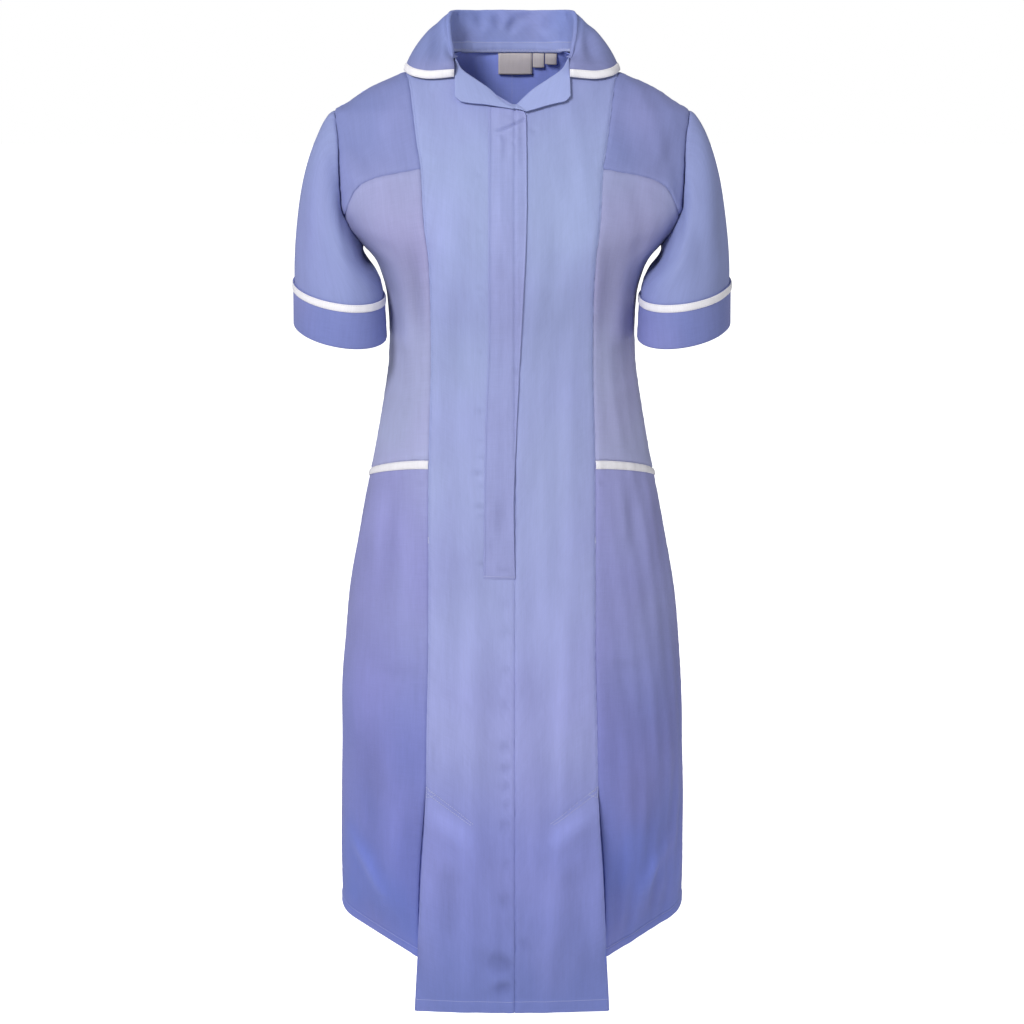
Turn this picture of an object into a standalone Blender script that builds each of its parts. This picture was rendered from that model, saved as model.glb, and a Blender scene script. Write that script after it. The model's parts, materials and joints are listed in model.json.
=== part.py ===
"""Nurse uniform dress, filled out as worn: a hollow garment of sewn panels.

Metres, +Z up. The front faces -Y and the wearer's left is +X. The origin lies on
the middle line, level with the points where the shoulder seams meet the collar.
Every panel is a wall of cloth through sections of one body form, and whatever lies
on a panel is made from that panel's own points, moved out.
"""
import math
from collections import namedtuple

import bpy
import numpy as np

# Cloth and seams
CLOTH = 0.0012
SEAM_GAP = 0.0003
LAYER_GAP = 0.0005
LAPEL_GAP = 0.0019
TRIM_CLOTH = 0.0009
LABEL_CLOTH = 0.0006

# Lengths down the garment, measured as heights from the origin
HEM_FRONT = -1.045
HEM_PLEAT = -1.020
HEM_SIDE = -1.015
HEM_BACK_PRINCESS = -1.024
HEM_BACK = -1.030
BACK_NECK = 0.009
FRONT_NECK = -0.0482
SHOULDER_PRINCESS = -0.017
SHOULDER_TIP = -0.0562
NECK_SETTLE = 0.25
BACK_SETTLE = 0.20
BUST_SEAM = -0.1126
ARMPIT_FRONT = -0.1625
UNDERARM = -0.195
POCKET_INNER = -0.4156
POCKET_OUTER = -0.4480
PLEAT_TOP = -0.7727
PLEAT_TOP_INNER = -0.8138
PLEAT_EASE = 1.25
POCKET_DROP_EASE = 1.4
ARMHOLE_ROUNDNESS = 0.75
SMOOTH_BELOW = math.radians(40)

# Widths of the smaller pieces
CENTRE_SEAM_X = 0.003
PLEAT_DEPTH = 0.054
PLEAT_LAP = 0.008
PLEAT_OPENING = 0.0125
PLEAT_STITCH_TOP = PLEAT_TOP - 0.0018
PLEAT_LEAF_HEM = -1.042
PLEAT_FOLD_HEM = -1.030
PLEAT_FIRST_DEPTH = CLOTH * 1.5 + LAYER_GAP * 1.6
PLEAT_CLOSE_RATE = 10
PLEAT_FOLD_BENDS = (45, 90, 135)
CUFF_DEPTH = 0.045
CUFF_TRIM_WIDTH = 0.008
COLLAR_TRIM_WIDTH = 0.008
POCKET_TRIM_WIDTH = 0.0092
POCKET_BAG_ABOVE = 0.012
POCKET_BAG_DEPTH = 0.150
POCKET_BAG_MARGIN = 0.3
ZIP_TAPE_WIDTH = 0.030
STRIP_ROW_MARGIN = 0.2
ZIP_TAPE_TOP = -0.062
PLACKET_TOP = -0.0580
PLACKET_END = -0.5385

# Cross-sections of the body form, from the neck to the hem. Each is a rounded
# oval about its side line: half its width, where its side line lies from front
# to back, and how far it stands before and behind that line.
Section = namedtuple("Section", "z half_width side_y front back")
ROUNDNESS = 2.3
SECTIONS = (
    Section(0.014, 0.056, 0.000, 0.022, 0.048),
    Section(0.000, 0.066, 0.000, 0.028, 0.050),
    Section(-0.017, 0.112, 0.000, 0.036, 0.056),
    Section(-0.033, 0.150, 0.000, 0.043, 0.063),
    Section(-0.047, 0.172, 0.000, 0.050, 0.069),
    Section(-0.059, 0.190, 0.000, 0.056, 0.074),
    Section(-0.080, 0.195, 0.000, 0.066, 0.080),
    Section(-0.120, 0.199, 0.000, 0.084, 0.089),
    Section(-0.150, 0.196, 0.000, 0.098, 0.093),
    Section(-0.175, 0.181, 0.000, 0.108, 0.094),
    Section(-0.195, 0.161, 0.000, 0.113, 0.094),
    Section(-0.220, 0.1440, 0.000, 0.114, 0.092),
    Section(-0.250, 0.1360, 0.000, 0.110, 0.088),
    Section(-0.280, 0.1345, 0.000, 0.104, 0.084),
    Section(-0.320, 0.1360, 0.000, 0.101, 0.081),
    Section(-0.360, 0.1420, 0.000, 0.104, 0.082),
    Section(-0.420, 0.1530, 0.000, 0.112, 0.090),
    Section(-0.500, 0.1700, 0.000, 0.123, 0.108),
    Section(-0.600, 0.1880, 0.000, 0.133, 0.119),
    Section(-0.700, 0.1980, 0.000, 0.142, 0.123),
    Section(-0.800, 0.2035, 0.012, 0.163, 0.116),
    Section(-0.900, 0.2090, 0.028, 0.185, 0.105),
    Section(-1.050, 0.2135, 0.045, 0.210, 0.095),
)

# Seams and edges drawn on the body form, each as heights and distances from the middle
SeamPoint = namedtuple("SeamPoint", "z x")
PRINCESS_SEAM = (
    SeamPoint(-0.017, 0.1120),
    SeamPoint(-0.026, 0.1077),
    SeamPoint(-0.050, 0.1035),
    SeamPoint(-0.085, 0.0986),
    SeamPoint(-0.113, 0.0940),
    SeamPoint(-0.165, 0.0908),
    SeamPoint(-0.203, 0.0865),
    SeamPoint(-0.243, 0.0853),
    SeamPoint(-0.309, 0.0861),
    SeamPoint(-0.416, 0.0893),
    SeamPoint(-0.610, 0.0912),
    SeamPoint(-0.700, 0.0938),
    SeamPoint(-0.781, 0.0958),
    SeamPoint(-0.907, 0.1037),
    SeamPoint(-1.049, 0.1112),
)
ROLL_LINE = (
    SeamPoint(-0.0482, 0.0063),
    SeamPoint(-0.0325, 0.0226),
    SeamPoint(-0.0225, 0.0383),
    SeamPoint(-0.0127, 0.0525),
    SeamPoint(-0.0029, 0.0592),
    SeamPoint(-0.0010, 0.0632),
)
BUST_LINE = (
    SeamPoint(-0.1126, 0.0940),
    SeamPoint(-0.1155, 0.1100),
    SeamPoint(-0.1207, 0.1357),
    SeamPoint(-0.1270, 0.1529),
    SeamPoint(-0.1359, 0.1639),
    SeamPoint(-0.1625, 0.1767),
)
PLACKET_FOLD = (
    SeamPoint(-0.054, 0.0129),
    SeamPoint(-0.062, 0.0150),
    SeamPoint(-0.141, 0.0156),
    SeamPoint(-0.263, 0.0109),
    SeamPoint(-0.390, 0.0047),
    SeamPoint(-0.464, 0.0023),
    SeamPoint(-0.540, 0.0037),
)
PLACKET_STITCH = (
    SeamPoint(-0.054, -0.0242),
    SeamPoint(-0.263, -0.0243),
    SeamPoint(-0.390, -0.0285),
    SeamPoint(-0.540, -0.0305),
)

# The back princess seam: distance from the middle at each height
BACK_PRINCESS_SEAM = (
    SeamPoint(-0.017, 0.1120),
    SeamPoint(-0.050, 0.1090),
    SeamPoint(-0.120, 0.1100),
    SeamPoint(-0.165, 0.1080),
    SeamPoint(-0.203, 0.1030),
    SeamPoint(-0.243, 0.0985),
    SeamPoint(-0.309, 0.0965),
    SeamPoint(-0.416, 0.1040),
    SeamPoint(-0.610, 0.1250),
    SeamPoint(-0.781, 0.1360),
    SeamPoint(-1.049, 0.1450),
)

# Lower edges of the two lapels, from the outer corner to the tip at the opening
LAPEL_EDGE_RIGHT = (
    SeamPoint(-0.0400, 0.0568),
    SeamPoint(-0.0462, 0.0500),
    SeamPoint(-0.0481, 0.0360),
    SeamPoint(-0.0490, 0.0192),
    SeamPoint(-0.0512, 0.0050),
    SeamPoint(-0.0535, -0.0072),
)
LAPEL_EDGE_LEFT = (
    SeamPoint(-0.0395, 0.0595),
    SeamPoint(-0.0445, 0.0530),
    SeamPoint(-0.0478, 0.0420),
    SeamPoint(-0.0505, 0.0300),
    SeamPoint(-0.0532, 0.0210),
    SeamPoint(-0.0556, 0.0140),
)
LAPEL_TOP_X = 0.0572
LAPEL_TIP_X = 0.0063
LAPEL_EDGE_INSET = 0.0003
LAPEL_ROWS = 6
LAPEL_LIFT = 0.0014

# The collar: where its neck seam runs on the body form, its fold and its outer edge
CollarPoint = namedtuple("CollarPoint", "share seam_angle seam_z fold edge")
COLLAR_POINTS = (
    CollarPoint(0.00, 180.0, 0.0090, (0.0000, 0.0560, 0.0465), (0.0000, 0.0640, -0.0060)),
    CollarPoint(0.25, 152.0, 0.0080, (0.0300, 0.0530, 0.0462), (0.0450, 0.0600, -0.0085)),
    CollarPoint(0.45, 125.0, 0.0052, (0.0500, 0.0410, 0.0455), (0.0820, 0.0440, -0.0110)),
    CollarPoint(0.60, 104.0, 0.0022, (0.0600, 0.0230, 0.0425), (0.1050, 0.0190, -0.0122)),
    CollarPoint(0.72, 86.0, 0.0000, (0.0636, 0.0050, 0.0335), (0.1125, -0.0050, -0.0135)),
    CollarPoint(0.82, 74.0, -0.0008, (0.0636, -0.0100, 0.0200), (0.1045, -0.0245, -0.0185)),
    CollarPoint(0.91, 62.0, -0.0017, (0.0626, -0.0205, 0.0075), (0.0850, -0.0350, -0.0215)),
    CollarPoint(1.00, 51.5, -0.0026, (0.0612, -0.0290, -0.0022), (0.0597, -0.0385, -0.0190)),
)
COLLAR_TURN = 0.0018
COLLAR_BULGE = 0.0050
COLLAR_COLUMNS = 29
COLLAR_FOLD_BENDS = (0, 50, 90, 130, 180)
COLLAR_LEAF_SHARES = (0.25, 0.5, 0.75, 1.0)
COLLAR_TRIM_LIMIT = 0.98

# The sleeve: around the armhole and the cuff, 0 degrees is the outer line over the
# shoulder, 90 the front, 180 the inner line and 270 the back. Each row gives the
# direction and reach in which the cloth leaves the armhole seam.
SleeveLeave = namedtuple("SleeveLeave", "around x y z")
SLEEVE_LEAVES = (
    SleeveLeave(0, 0.0225, 0.000, -0.006),
    SleeveLeave(45, 0.0260, -0.010, -0.022),
    SleeveLeave(90, 0.0120, -0.030, -0.040),
    SleeveLeave(135, -0.0080, -0.036, -0.034),
    SleeveLeave(180, 0.0060, -0.004, -0.016),
    SleeveLeave(225, 0.0120, 0.010, -0.020),
    SleeveLeave(270, 0.0140, 0.022, -0.036),
    SleeveLeave(315, 0.0240, 0.008, -0.020),
    SleeveLeave(360, 0.0225, 0.000, -0.006),
)
ARMHOLE_FRONT_SWING = 26.5
ARMHOLE_BACK_SWING = 24.0
SLEEVE_START = 0.0012
CUFF_CENTRE = (0.1862, -0.0320)
CUFF_HALF_X = 0.0485
CUFF_HALF_Y = 0.0550
CUFF_SKEW = 0.0140
CUFF_FLARE = 0.0015
CUFF_HEM = -0.2845
CUFF_TILT_OUT = 0.0075
CUFF_TILT_FRONT = 0.0085
CUFF_ROW_HEIGHTS = (CUFF_DEPTH, CUFF_DEPTH - CUFF_TRIM_WIDTH, 0.020, 0.0)
SLEEVE_ROWS = 8
SLEEVE_DROP = 0.42

# Labels hanging in the back neck, all bare: distances from the middle and heights
Label = namedtuple("Label", "name x_from x_to top bottom")
LABELS = (
    Label("label_main", -0.0150, 0.0222, 0.0030, -0.0184),
    Label("label_size", 0.0229, 0.0354, 0.0030, -0.0108),
    Label("label_small", 0.0366, 0.0493, 0.0030, -0.0070),
)
LABEL_HANGS = (0.0, 0.0008, 0.0016)
LABEL_COLUMNS = 3

# How finely the panels are divided between their corners
ROWS_NECK = 2
ROWS_YOKE = 8
ROWS_ARM_LOWER = 4
ROWS_SIDE = 11
ROWS_SKIRT_UPPER = 6
ROWS_SKIRT_LOWER = 5
ROWS_BACK_ARM = 12
COLUMNS_YOKE = 5
PLEAT_ROWS = 10
PLEAT_LEAF_STEPS = 4
PLEAT_ROW_INSET = 0.04
COLUMNS_BACK = 7
COLUMNS_PLACKET = 5
COLUMNS_TAPE = 4

RIGHT_ANGLE = math.pi / 2
DIFFERENCE = 1e-3


def remove_everything():
    for scene_object in list(bpy.data.objects):
        bpy.data.objects.remove(scene_object, do_unlink=True)


def smooth_table(keys, values):
    """A function through the rows of a table, smooth and never overshooting them."""
    order = np.argsort(keys)
    key = np.asarray(keys, dtype=float)[order]
    value = np.asarray(values, dtype=float)[order]
    step = np.diff(key)
    rise = np.diff(value) / step
    slope = np.zeros_like(value)
    slope[0] = rise[0]
    slope[-1] = rise[-1]
    for index in range(1, len(key) - 1):
        before, after = rise[index - 1], rise[index]
        if before * after > 0:
            slope[index] = 2 * before * after / (before + after)

    def read(where):
        inside = min(max(float(where), key[0]), key[-1])
        cell = min(int(np.searchsorted(key, inside, side="right")) - 1, len(step) - 1)
        share = (inside - key[cell]) / step[cell]
        bend = share * share * (3 - 2 * share)
        start = share * (1 - share) ** 2 * step[cell] * slope[cell]
        finish = share * share * (share - 1) * step[cell] * slope[cell + 1]
        return value[cell] + (value[cell + 1] - value[cell]) * bend + start + finish

    return read


HALF_WIDTH = smooth_table([row.z for row in SECTIONS], [row.half_width for row in SECTIONS])
SIDE_Y = smooth_table([row.z for row in SECTIONS], [row.side_y for row in SECTIONS])
FRONT = smooth_table([row.z for row in SECTIONS], [row.front for row in SECTIONS])
BACK = smooth_table([row.z for row in SECTIONS], [row.back for row in SECTIONS])


def seam_x(points):
    return smooth_table([point.z for point in points], [point.x for point in points])


PRINCESS_X = seam_x(PRINCESS_SEAM)
BACK_PRINCESS_X = seam_x(BACK_PRINCESS_SEAM)


def body_point(angle, z):
    """The body form: angle 0 is the front middle, 90 degrees the +X side, 180 the back."""
    power = 2 / ROUNDNESS
    across = math.copysign(abs(math.sin(angle)) ** power, math.sin(angle))
    along = abs(math.cos(angle)) ** power
    depth = -FRONT(z) if math.cos(angle) > 0 else BACK(z)
    return np.array((HALF_WIDTH(z) * across, SIDE_Y(z) + depth * along, z))


def front_angle(x, z):
    """The angle at which the front of the body form is x from the middle."""
    share = min(abs(x) / HALF_WIDTH(z), 1.0)
    return math.copysign(math.asin(share ** (ROUNDNESS / 2)), x)


def back_angle(x, z):
    return math.pi - front_angle(x, z)


def princess_angle(z):
    return front_angle(PRINCESS_X(z), z)


def pleat_share(z):
    """How far the pleats have opened at a height: 0 at their top, 1 at the hem."""
    share = (PLEAT_TOP - z) / (PLEAT_TOP - HEM_PLEAT)
    return max(share, 0.0) ** PLEAT_EASE


# The skirt's side panel swings back below the pleat and hangs flat to the side fold.
# The corner and its control point are measured from the side seam.
OPEN_EDGE = np.array((0.1105, -0.0885))
OPEN_CORNER = np.array((-0.0205, -0.0480))
OPEN_CONTROL = np.array((-0.0005, -0.0285))
OPEN_CORNER_SHARE = 0.68
FLAT_FRONT_Y = -0.1640
FLAT_FRONT_CURVE = 0.50


def centre_point(angle, z):
    """The front middle panel, which hangs flatter once the pleats set it free."""
    point = body_point(angle, z)
    flat_y = FLAT_FRONT_Y + FLAT_FRONT_CURVE * point[0] ** 2
    point[1] += (flat_y - point[1]) * pleat_share(z)
    return point


def side_point(angle, z):
    """The skirt's side panel, from the princess seam's angle to 90 degrees."""
    start = princess_angle(z)
    share = (angle - start) / (RIGHT_ANGLE - start)
    seam = np.array((HALF_WIDTH(z), SIDE_Y(z)))
    corner = seam + OPEN_CORNER
    if share < OPEN_CORNER_SHARE:
        flat = OPEN_EDGE + (corner - OPEN_EDGE) * share / OPEN_CORNER_SHARE
    else:
        turn = (share - OPEN_CORNER_SHARE) / (1 - OPEN_CORNER_SHARE)
        control = seam + OPEN_CONTROL
        flat = corner * (1 - turn) ** 2 + control * 2 * turn * (1 - turn) + seam * turn ** 2
    point = body_point(angle, z)
    point[:2] += (flat - point[:2]) * pleat_share(z)
    return point


def outward(form, angle, z):
    """The direction straight out of a form's cloth at a point."""
    around = form(angle + DIFFERENCE, z) - form(angle - DIFFERENCE, z)
    down = form(angle, z - DIFFERENCE) - form(angle, z + DIFFERENCE)
    normal = np.cross(down, around)
    return normal / np.linalg.norm(normal)


def unit(vectors):
    return vectors / np.linalg.norm(vectors, axis=-1, keepdims=True)


Sheet = namedtuple("Sheet", "points normals")


def coons(left, right, top, bottom):
    """Fills the space between four edges, each a list of (angle, z), with rows and columns."""
    left, right, top, bottom = (np.asarray(edge, dtype=float) for edge in (left, right, top, bottom))
    down = np.linspace(0, 1, len(left))[:, None, None]
    across = np.linspace(0, 1, len(top))[None, :, None]
    sides = left[:, None] * (1 - across) + right[:, None] * across
    ends = top[None] * (1 - down) + bottom[None] * down
    corners = ((top[0] * (1 - across) + top[-1] * across) * (1 - down)
               + (bottom[0] * (1 - across) + bottom[-1] * across) * down)
    return sides + ends - corners


def sheet_on(form, grid):
    """Puts a grid of (angle, z) on a form."""
    points = np.array([[form(angle, z) for angle, z in row] for row in grid])
    normals = np.array([[outward(form, angle, z) for angle, z in row] for row in grid])
    return Sheet(points, normals)


def sheet_through(points, closed=False):
    """A sheet through a grid of points, with the directions out of it."""
    if closed:
        around = np.roll(points, -1, axis=1) - np.roll(points, 1, axis=1)
    else:
        around = np.gradient(points, axis=1)
    down = np.gradient(points, axis=0)
    return Sheet(points, unit(np.cross(down, around)))


def trimmed(sheet, closed=False, gap=SEAM_GAP / 2):
    """Draws a sheet's edges in by half a seam gap."""
    points = sheet.points.copy()
    source = sheet.points
    points[0] += unit(source[1] - source[0]) * gap
    points[-1] += unit(source[-2] - source[-1]) * gap
    if not closed:
        points[:, 0] += unit(source[:, 1] - source[:, 0]) * gap
        points[:, -1] += unit(source[:, -2] - source[:, -1]) * gap
    return Sheet(points, sheet.normals)


def mirrored(sheet):
    flip = np.array((-1.0, 1.0, 1.0))
    return Sheet(sheet.points * flip, sheet.normals * flip)


def read_sheet(sheet, row, column):
    """A point and its direction part way between rows and columns, on the cell's own triangle."""
    low_row = min(int(row), len(sheet.points) - 2)
    low_column = min(int(column), len(sheet.points[0]) - 2)
    down, across = row - low_row, column - low_column
    values = []
    for grid in sheet:
        corner = grid[low_row, low_column]
        opposite = grid[low_row + 1, low_column + 1]
        if down > across:
            other = grid[low_row + 1, low_column]
            values.append(corner + (other - corner) * down + (opposite - other) * across)
        else:
            other = grid[low_row, low_column + 1]
            values.append(corner + (other - corner) * across + (opposite - other) * down)
    return values


def cloth_material(name, colour, roughness):
    material = bpy.data.materials.new(name)
    material.use_nodes = True
    shader = material.node_tree.nodes["Principled BSDF"]
    shader.inputs["Base Color"].default_value = (*colour, 1.0)
    shader.inputs["Roughness"].default_value = roughness
    shader.inputs["Metallic"].default_value = 0.0
    return material


BLUE = (0.31, 0.36, 0.68)
BLUE_SIDE = (0.36, 0.38, 0.63)
BLUE_DEEP = (0.21, 0.25, 0.56)
WHITE = (0.85, 0.84, 0.87)
LABEL_GREY = (0.36, 0.33, 0.34)
CLOTH_ROUGHNESS = 0.72
TRIM_ROUGHNESS = 0.60


def wall(name, sheet, outer, inner, colour, roughness=CLOTH_ROUGHNESS, closed=False):
    """Makes a closed wall of cloth between two distances out from a sheet.

    A distance is one number, or a grid of them, one for each point."""
    rows, columns = sheet.points.shape[:2]
    faces_of = []
    for distance in (outer, inner):
        reach = np.broadcast_to(np.asarray(distance, dtype=float), (rows, columns))
        faces_of.append(sheet.points + sheet.normals * reach[:, :, None])
    vertices = np.concatenate([face.reshape(-1, 3) for face in faces_of])
    layer = rows * columns

    def index(row, column, side):
        return side * layer + row * columns + column % columns

    faces = []
    last_column = columns if closed else columns - 1
    for row in range(rows - 1):
        for column in range(last_column):
            corner, across = (row, column), (row + 1, column + 1)
            for other in ((row + 1, column), (row, column + 1)):
                triangle = [corner, other, across] if other[0] > row else [across, other, corner]
                faces.append([index(r, c, 0) for r, c in triangle])
                faces.append([index(r, c, 1) for r, c in reversed(triangle)])
    for column in range(last_column):
        faces.append([index(0, column, 0), index(0, column + 1, 0),
                      index(0, column + 1, 1), index(0, column, 1)])
        faces.append([index(rows - 1, column + 1, 0), index(rows - 1, column, 0),
                      index(rows - 1, column, 1), index(rows - 1, column + 1, 1)])
    if not closed:
        for row in range(rows - 1):
            faces.append([index(row + 1, 0, 0), index(row, 0, 0), index(row, 0, 1), index(row + 1, 0, 1)])
            faces.append([index(row, columns - 1, 0), index(row + 1, columns - 1, 0),
                          index(row + 1, columns - 1, 1), index(row, columns - 1, 1)])
    mesh = bpy.data.meshes.new(name)
    mesh.from_pydata([tuple(vertex) for vertex in vertices], [], faces)
    if enclosed_volume(mesh) < 0:
        mesh.flip_normals()
    mesh.materials.append(cloth_material(name, colour, roughness))
    mesh.shade_smooth()
    mesh.set_sharp_from_angle(angle=SMOOTH_BELOW)
    piece = bpy.data.objects.new(name, mesh)
    bpy.context.scene.collection.objects.link(piece)
    return piece


def enclosed_volume(mesh):
    mesh.calc_loop_triangles()
    total = 0.0
    for triangle in mesh.loop_triangles:
        first, second, third = (mesh.vertices[corner].co for corner in triangle.vertices)
        total += first.dot(second.cross(third)) / 6
    return total


def both_sides(name, sheet, outer, inner, colour, closed=False):
    """The wearer's left piece at +X and its mirror image on the right."""
    wall(f"{name}_left", sheet, outer, inner, colour, closed=closed)
    wall(f"{name}_right", mirrored(sheet), outer, inner, colour, closed=closed)


# Stations shared by the panels on both sides of a seam
def spaced(start, end, count):
    """Heights from start to end, without the first."""
    return [start + (end - start) * step / count for step in range(1, count + 1)]


def armhole_point(around):
    """The armhole seam as (angle, z): around 0 is the shoulder tip, 90 the front, 180 the underarm."""
    middle = (SHOULDER_TIP + UNDERARM) / 2
    reach = (SHOULDER_TIP - UNDERARM) / 2
    z = middle + reach * math.cos(around)
    swing = ARMHOLE_FRONT_SWING if math.sin(around) > 0 else ARMHOLE_BACK_SWING
    share = abs(math.sin(around)) ** ARMHOLE_ROUNDNESS
    side = -1 if math.sin(around) > 0 else 1
    return (RIGHT_ANGLE + side * math.radians(swing) * share, z)


def front_armhole_stations():
    """Around angles of the front armhole, with one exactly where the bust seam meets it."""
    middle = (SHOULDER_TIP + UNDERARM) / 2
    reach = (SHOULDER_TIP - UNDERARM) / 2
    meeting = math.acos((ARMPIT_FRONT - middle) / reach)
    upper = [meeting * step / ROWS_YOKE for step in range(ROWS_YOKE + 1)]
    lower = [meeting + (math.pi - meeting) * step / ROWS_ARM_LOWER for step in range(1, ROWS_ARM_LOWER + 1)]
    return upper, lower


UPPER_ARM, LOWER_ARM = front_armhole_stations()
BACK_ARM = [2 * math.pi - math.pi * step / ROWS_BACK_ARM for step in range(ROWS_BACK_ARM + 1)]

YOKE_ZS = [SHOULDER_PRINCESS] + spaced(SHOULDER_PRINCESS, BUST_SEAM, ROWS_YOKE)
SIDE_ZS = [BUST_SEAM] + spaced(BUST_SEAM, POCKET_INNER, ROWS_SIDE)
SKIRT_ZS = ([POCKET_INNER] + spaced(POCKET_INNER, PLEAT_TOP, ROWS_SKIRT_UPPER)
            + spaced(PLEAT_TOP, HEM_PLEAT, ROWS_SKIRT_LOWER))
SIDE_SEAM_ZS = [UNDERARM] + spaced(UNDERARM, POCKET_OUTER, ROWS_SIDE)
SKIRT_SEAM_ZS = ([POCKET_OUTER] + spaced(POCKET_OUTER, PLEAT_TOP, ROWS_SKIRT_UPPER)
                 + spaced(PLEAT_TOP, HEM_SIDE, ROWS_SKIRT_LOWER))
SHOULDER_INNER_ZS = [0.0] + spaced(0.0, SHOULDER_PRINCESS, ROWS_NECK)
SHOULDER_OUTER_ZS = [SHOULDER_PRINCESS] + spaced(SHOULDER_PRINCESS, SHOULDER_TIP, COLUMNS_YOKE)


def princess_edge(heights):
    return [(princess_angle(z), z) for z in heights]


def centre_panel(side):
    """One front middle panel, neck to hem; side is 1 for the wearer's left and -1 for the right."""
    stretch = (HEM_FRONT - PLEAT_TOP) / (HEM_PLEAT - PLEAT_TOP)
    heights = YOKE_ZS[1:] + SIDE_ZS[1:] + SKIRT_ZS[1:]
    heights = [z if z > PLEAT_TOP else PLEAT_TOP + (z - PLEAT_TOP) * stretch for z in heights]
    outer = [(HALF_WIDTH(z), z) for z in SHOULDER_INNER_ZS] + [(PRINCESS_X(z), z) for z in heights]
    middle = [(side * CENTRE_SEAM_X, z + FRONT_NECK * eased(1 + z / NECK_SETTLE)) for _, z in outer]
    top = [middle[0]] + [(point.x, point.z) for point in ROLL_LINE[1:]] + [outer[0]]
    rows = rows_between(middle, outer, top)
    return sheet_on(centre_point, [[(front_angle(x, z), z) for x, z in row] for row in rows])


def eased(share):
    """A share kept between 0 and 1 and made to start and end gently."""
    inside = min(max(share, 0.0), 1.0)
    return inside * inside * (3 - 2 * inside)


def rows_between(middle, outer, top):
    """Rows from a middle edge to an outer edge, spaced as the top edge is and then evenly."""
    middle, outer, top = (np.array(edge) for edge in (middle, outer, top))
    even = np.linspace(0, 1, len(top))[:, None]
    at_top = (top - middle[0]) / (outer[0] - middle[0])
    rows = []
    for row, (start, end) in enumerate(zip(middle, outer)):
        spacing = at_top + (even - at_top) * eased(row / (ROWS_NECK + ROWS_YOKE))
        rows.append(start + (end - start) * spacing)
    return rows


def bust_line(rows_below):
    """The bust seam from the princess seam to the armhole, in as many steps as a panel has."""
    reach = smooth_table([point.x for point in BUST_LINE], [point.z for point in BUST_LINE])
    start, end = BUST_LINE[0].x, BUST_LINE[-1].x
    line = []
    for step in range(rows_below):
        x = start + (end - start) * step / rows_below
        line.append((front_angle(x, reach(x)), reach(x)))
    line[0] = (princess_angle(BUST_SEAM), BUST_SEAM)
    line.append(armhole_point(UPPER_ARM[-1]))
    return line


def yoke_panel():
    left = [(RIGHT_ANGLE, SHOULDER_PRINCESS)] + princess_edge(YOKE_ZS[1:])
    right = [armhole_point(around) for around in UPPER_ARM]
    top = [(RIGHT_ANGLE, z) for z in SHOULDER_OUTER_ZS]
    return sheet_on(body_point, coons(left, right, top, bust_line(COLUMNS_YOKE)))


def side_panel():
    """The bodice side: bust seam and lower armhole above, pocket line below."""
    left = princess_edge(SIDE_ZS)
    right = [(RIGHT_ANGLE, z) for z in SIDE_SEAM_ZS]
    top = bust_line(COLUMNS_YOKE) + [armhole_point(around) for around in LOWER_ARM]
    bottom = pocket_line(len(top))
    return sheet_on(body_point, coons(left, right, top, bottom))


def pocket_line(count):
    start, end = princess_angle(POCKET_INNER), RIGHT_ANGLE
    line = []
    for step in range(count):
        share = step / (count - 1)
        drop = (POCKET_OUTER - POCKET_INNER) * share ** POCKET_DROP_EASE
        line.append((start + (end - start) * share, POCKET_INNER + drop))
    return line


def skirt_panel():
    left = princess_edge(SKIRT_ZS)
    right = [(RIGHT_ANGLE, z) for z in SKIRT_SEAM_ZS]
    top = pocket_line(COLUMNS_YOKE + ROWS_ARM_LOWER + 1)
    first, last = left[-1], right[-1]
    bottom = [(first[0] + (last[0] - first[0]) * step / (len(top) - 1),
               first[1] + (last[1] - first[1]) * step / (len(top) - 1)) for step in range(len(top))]
    return sheet_on(side_point, coons(left, right, top, bottom))


def hem_stretch(z, last, wanted):
    """How much lower a row ends, so that rows that end at one hem height end at another."""
    return (wanted - last) * max((z - PLEAT_TOP) / (last - PLEAT_TOP), 0.0)


def back_outer_edge():
    """The armhole from the shoulder tip to the underarm, and then the side seam."""
    arm = [armhole_point(around) for around in BACK_ARM]
    return arm + [(RIGHT_ANGLE, z) for z in SIDE_SEAM_ZS[1:] + SKIRT_SEAM_ZS[1:]]


def back_princess_edge():
    edge = []
    for _, z in back_outer_edge():
        rise = (SHOULDER_PRINCESS - SHOULDER_TIP) * (1 - eased((SHOULDER_TIP - z) / BACK_SETTLE))
        height = z + rise + hem_stretch(z, HEM_SIDE, HEM_BACK_PRINCESS)
        edge.append((back_angle(BACK_PRINCESS_X(height), height), height))
    edge[0] = (RIGHT_ANGLE, SHOULDER_PRINCESS)
    return edge


def back_side_panel():
    left, right = back_princess_edge(), back_outer_edge()
    top = [(RIGHT_ANGLE, z) for z in SHOULDER_OUTER_ZS]
    shares = np.linspace(0, 1, len(top))[:, None]
    bottom = np.array(left[-1]) * (1 - shares) + np.array(right[-1]) * shares
    return sheet_on(body_point, coons(left, right, top, bottom))


def back_centre_panel():
    right = [(RIGHT_ANGLE, z) for z in SHOULDER_INNER_ZS] + back_princess_edge()[1:]
    left = []
    for _, z in right:
        rise = BACK_NECK * (1 - eased(-z / BACK_SETTLE))
        left.append((math.pi, z + rise + hem_stretch(z, HEM_BACK_PRINCESS, HEM_BACK)))
    shares = np.linspace(0, 1, COLUMNS_BACK + 1)
    top = [(math.pi - RIGHT_ANGLE * share, BACK_NECK * math.cos(RIGHT_ANGLE * share)) for share in shares]
    bottom = np.array(left[-1]) * (1 - shares[:, None]) + np.array(right[-1]) * shares[:, None]
    return sheet_on(body_point, coons(left, right, top, bottom))


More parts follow.
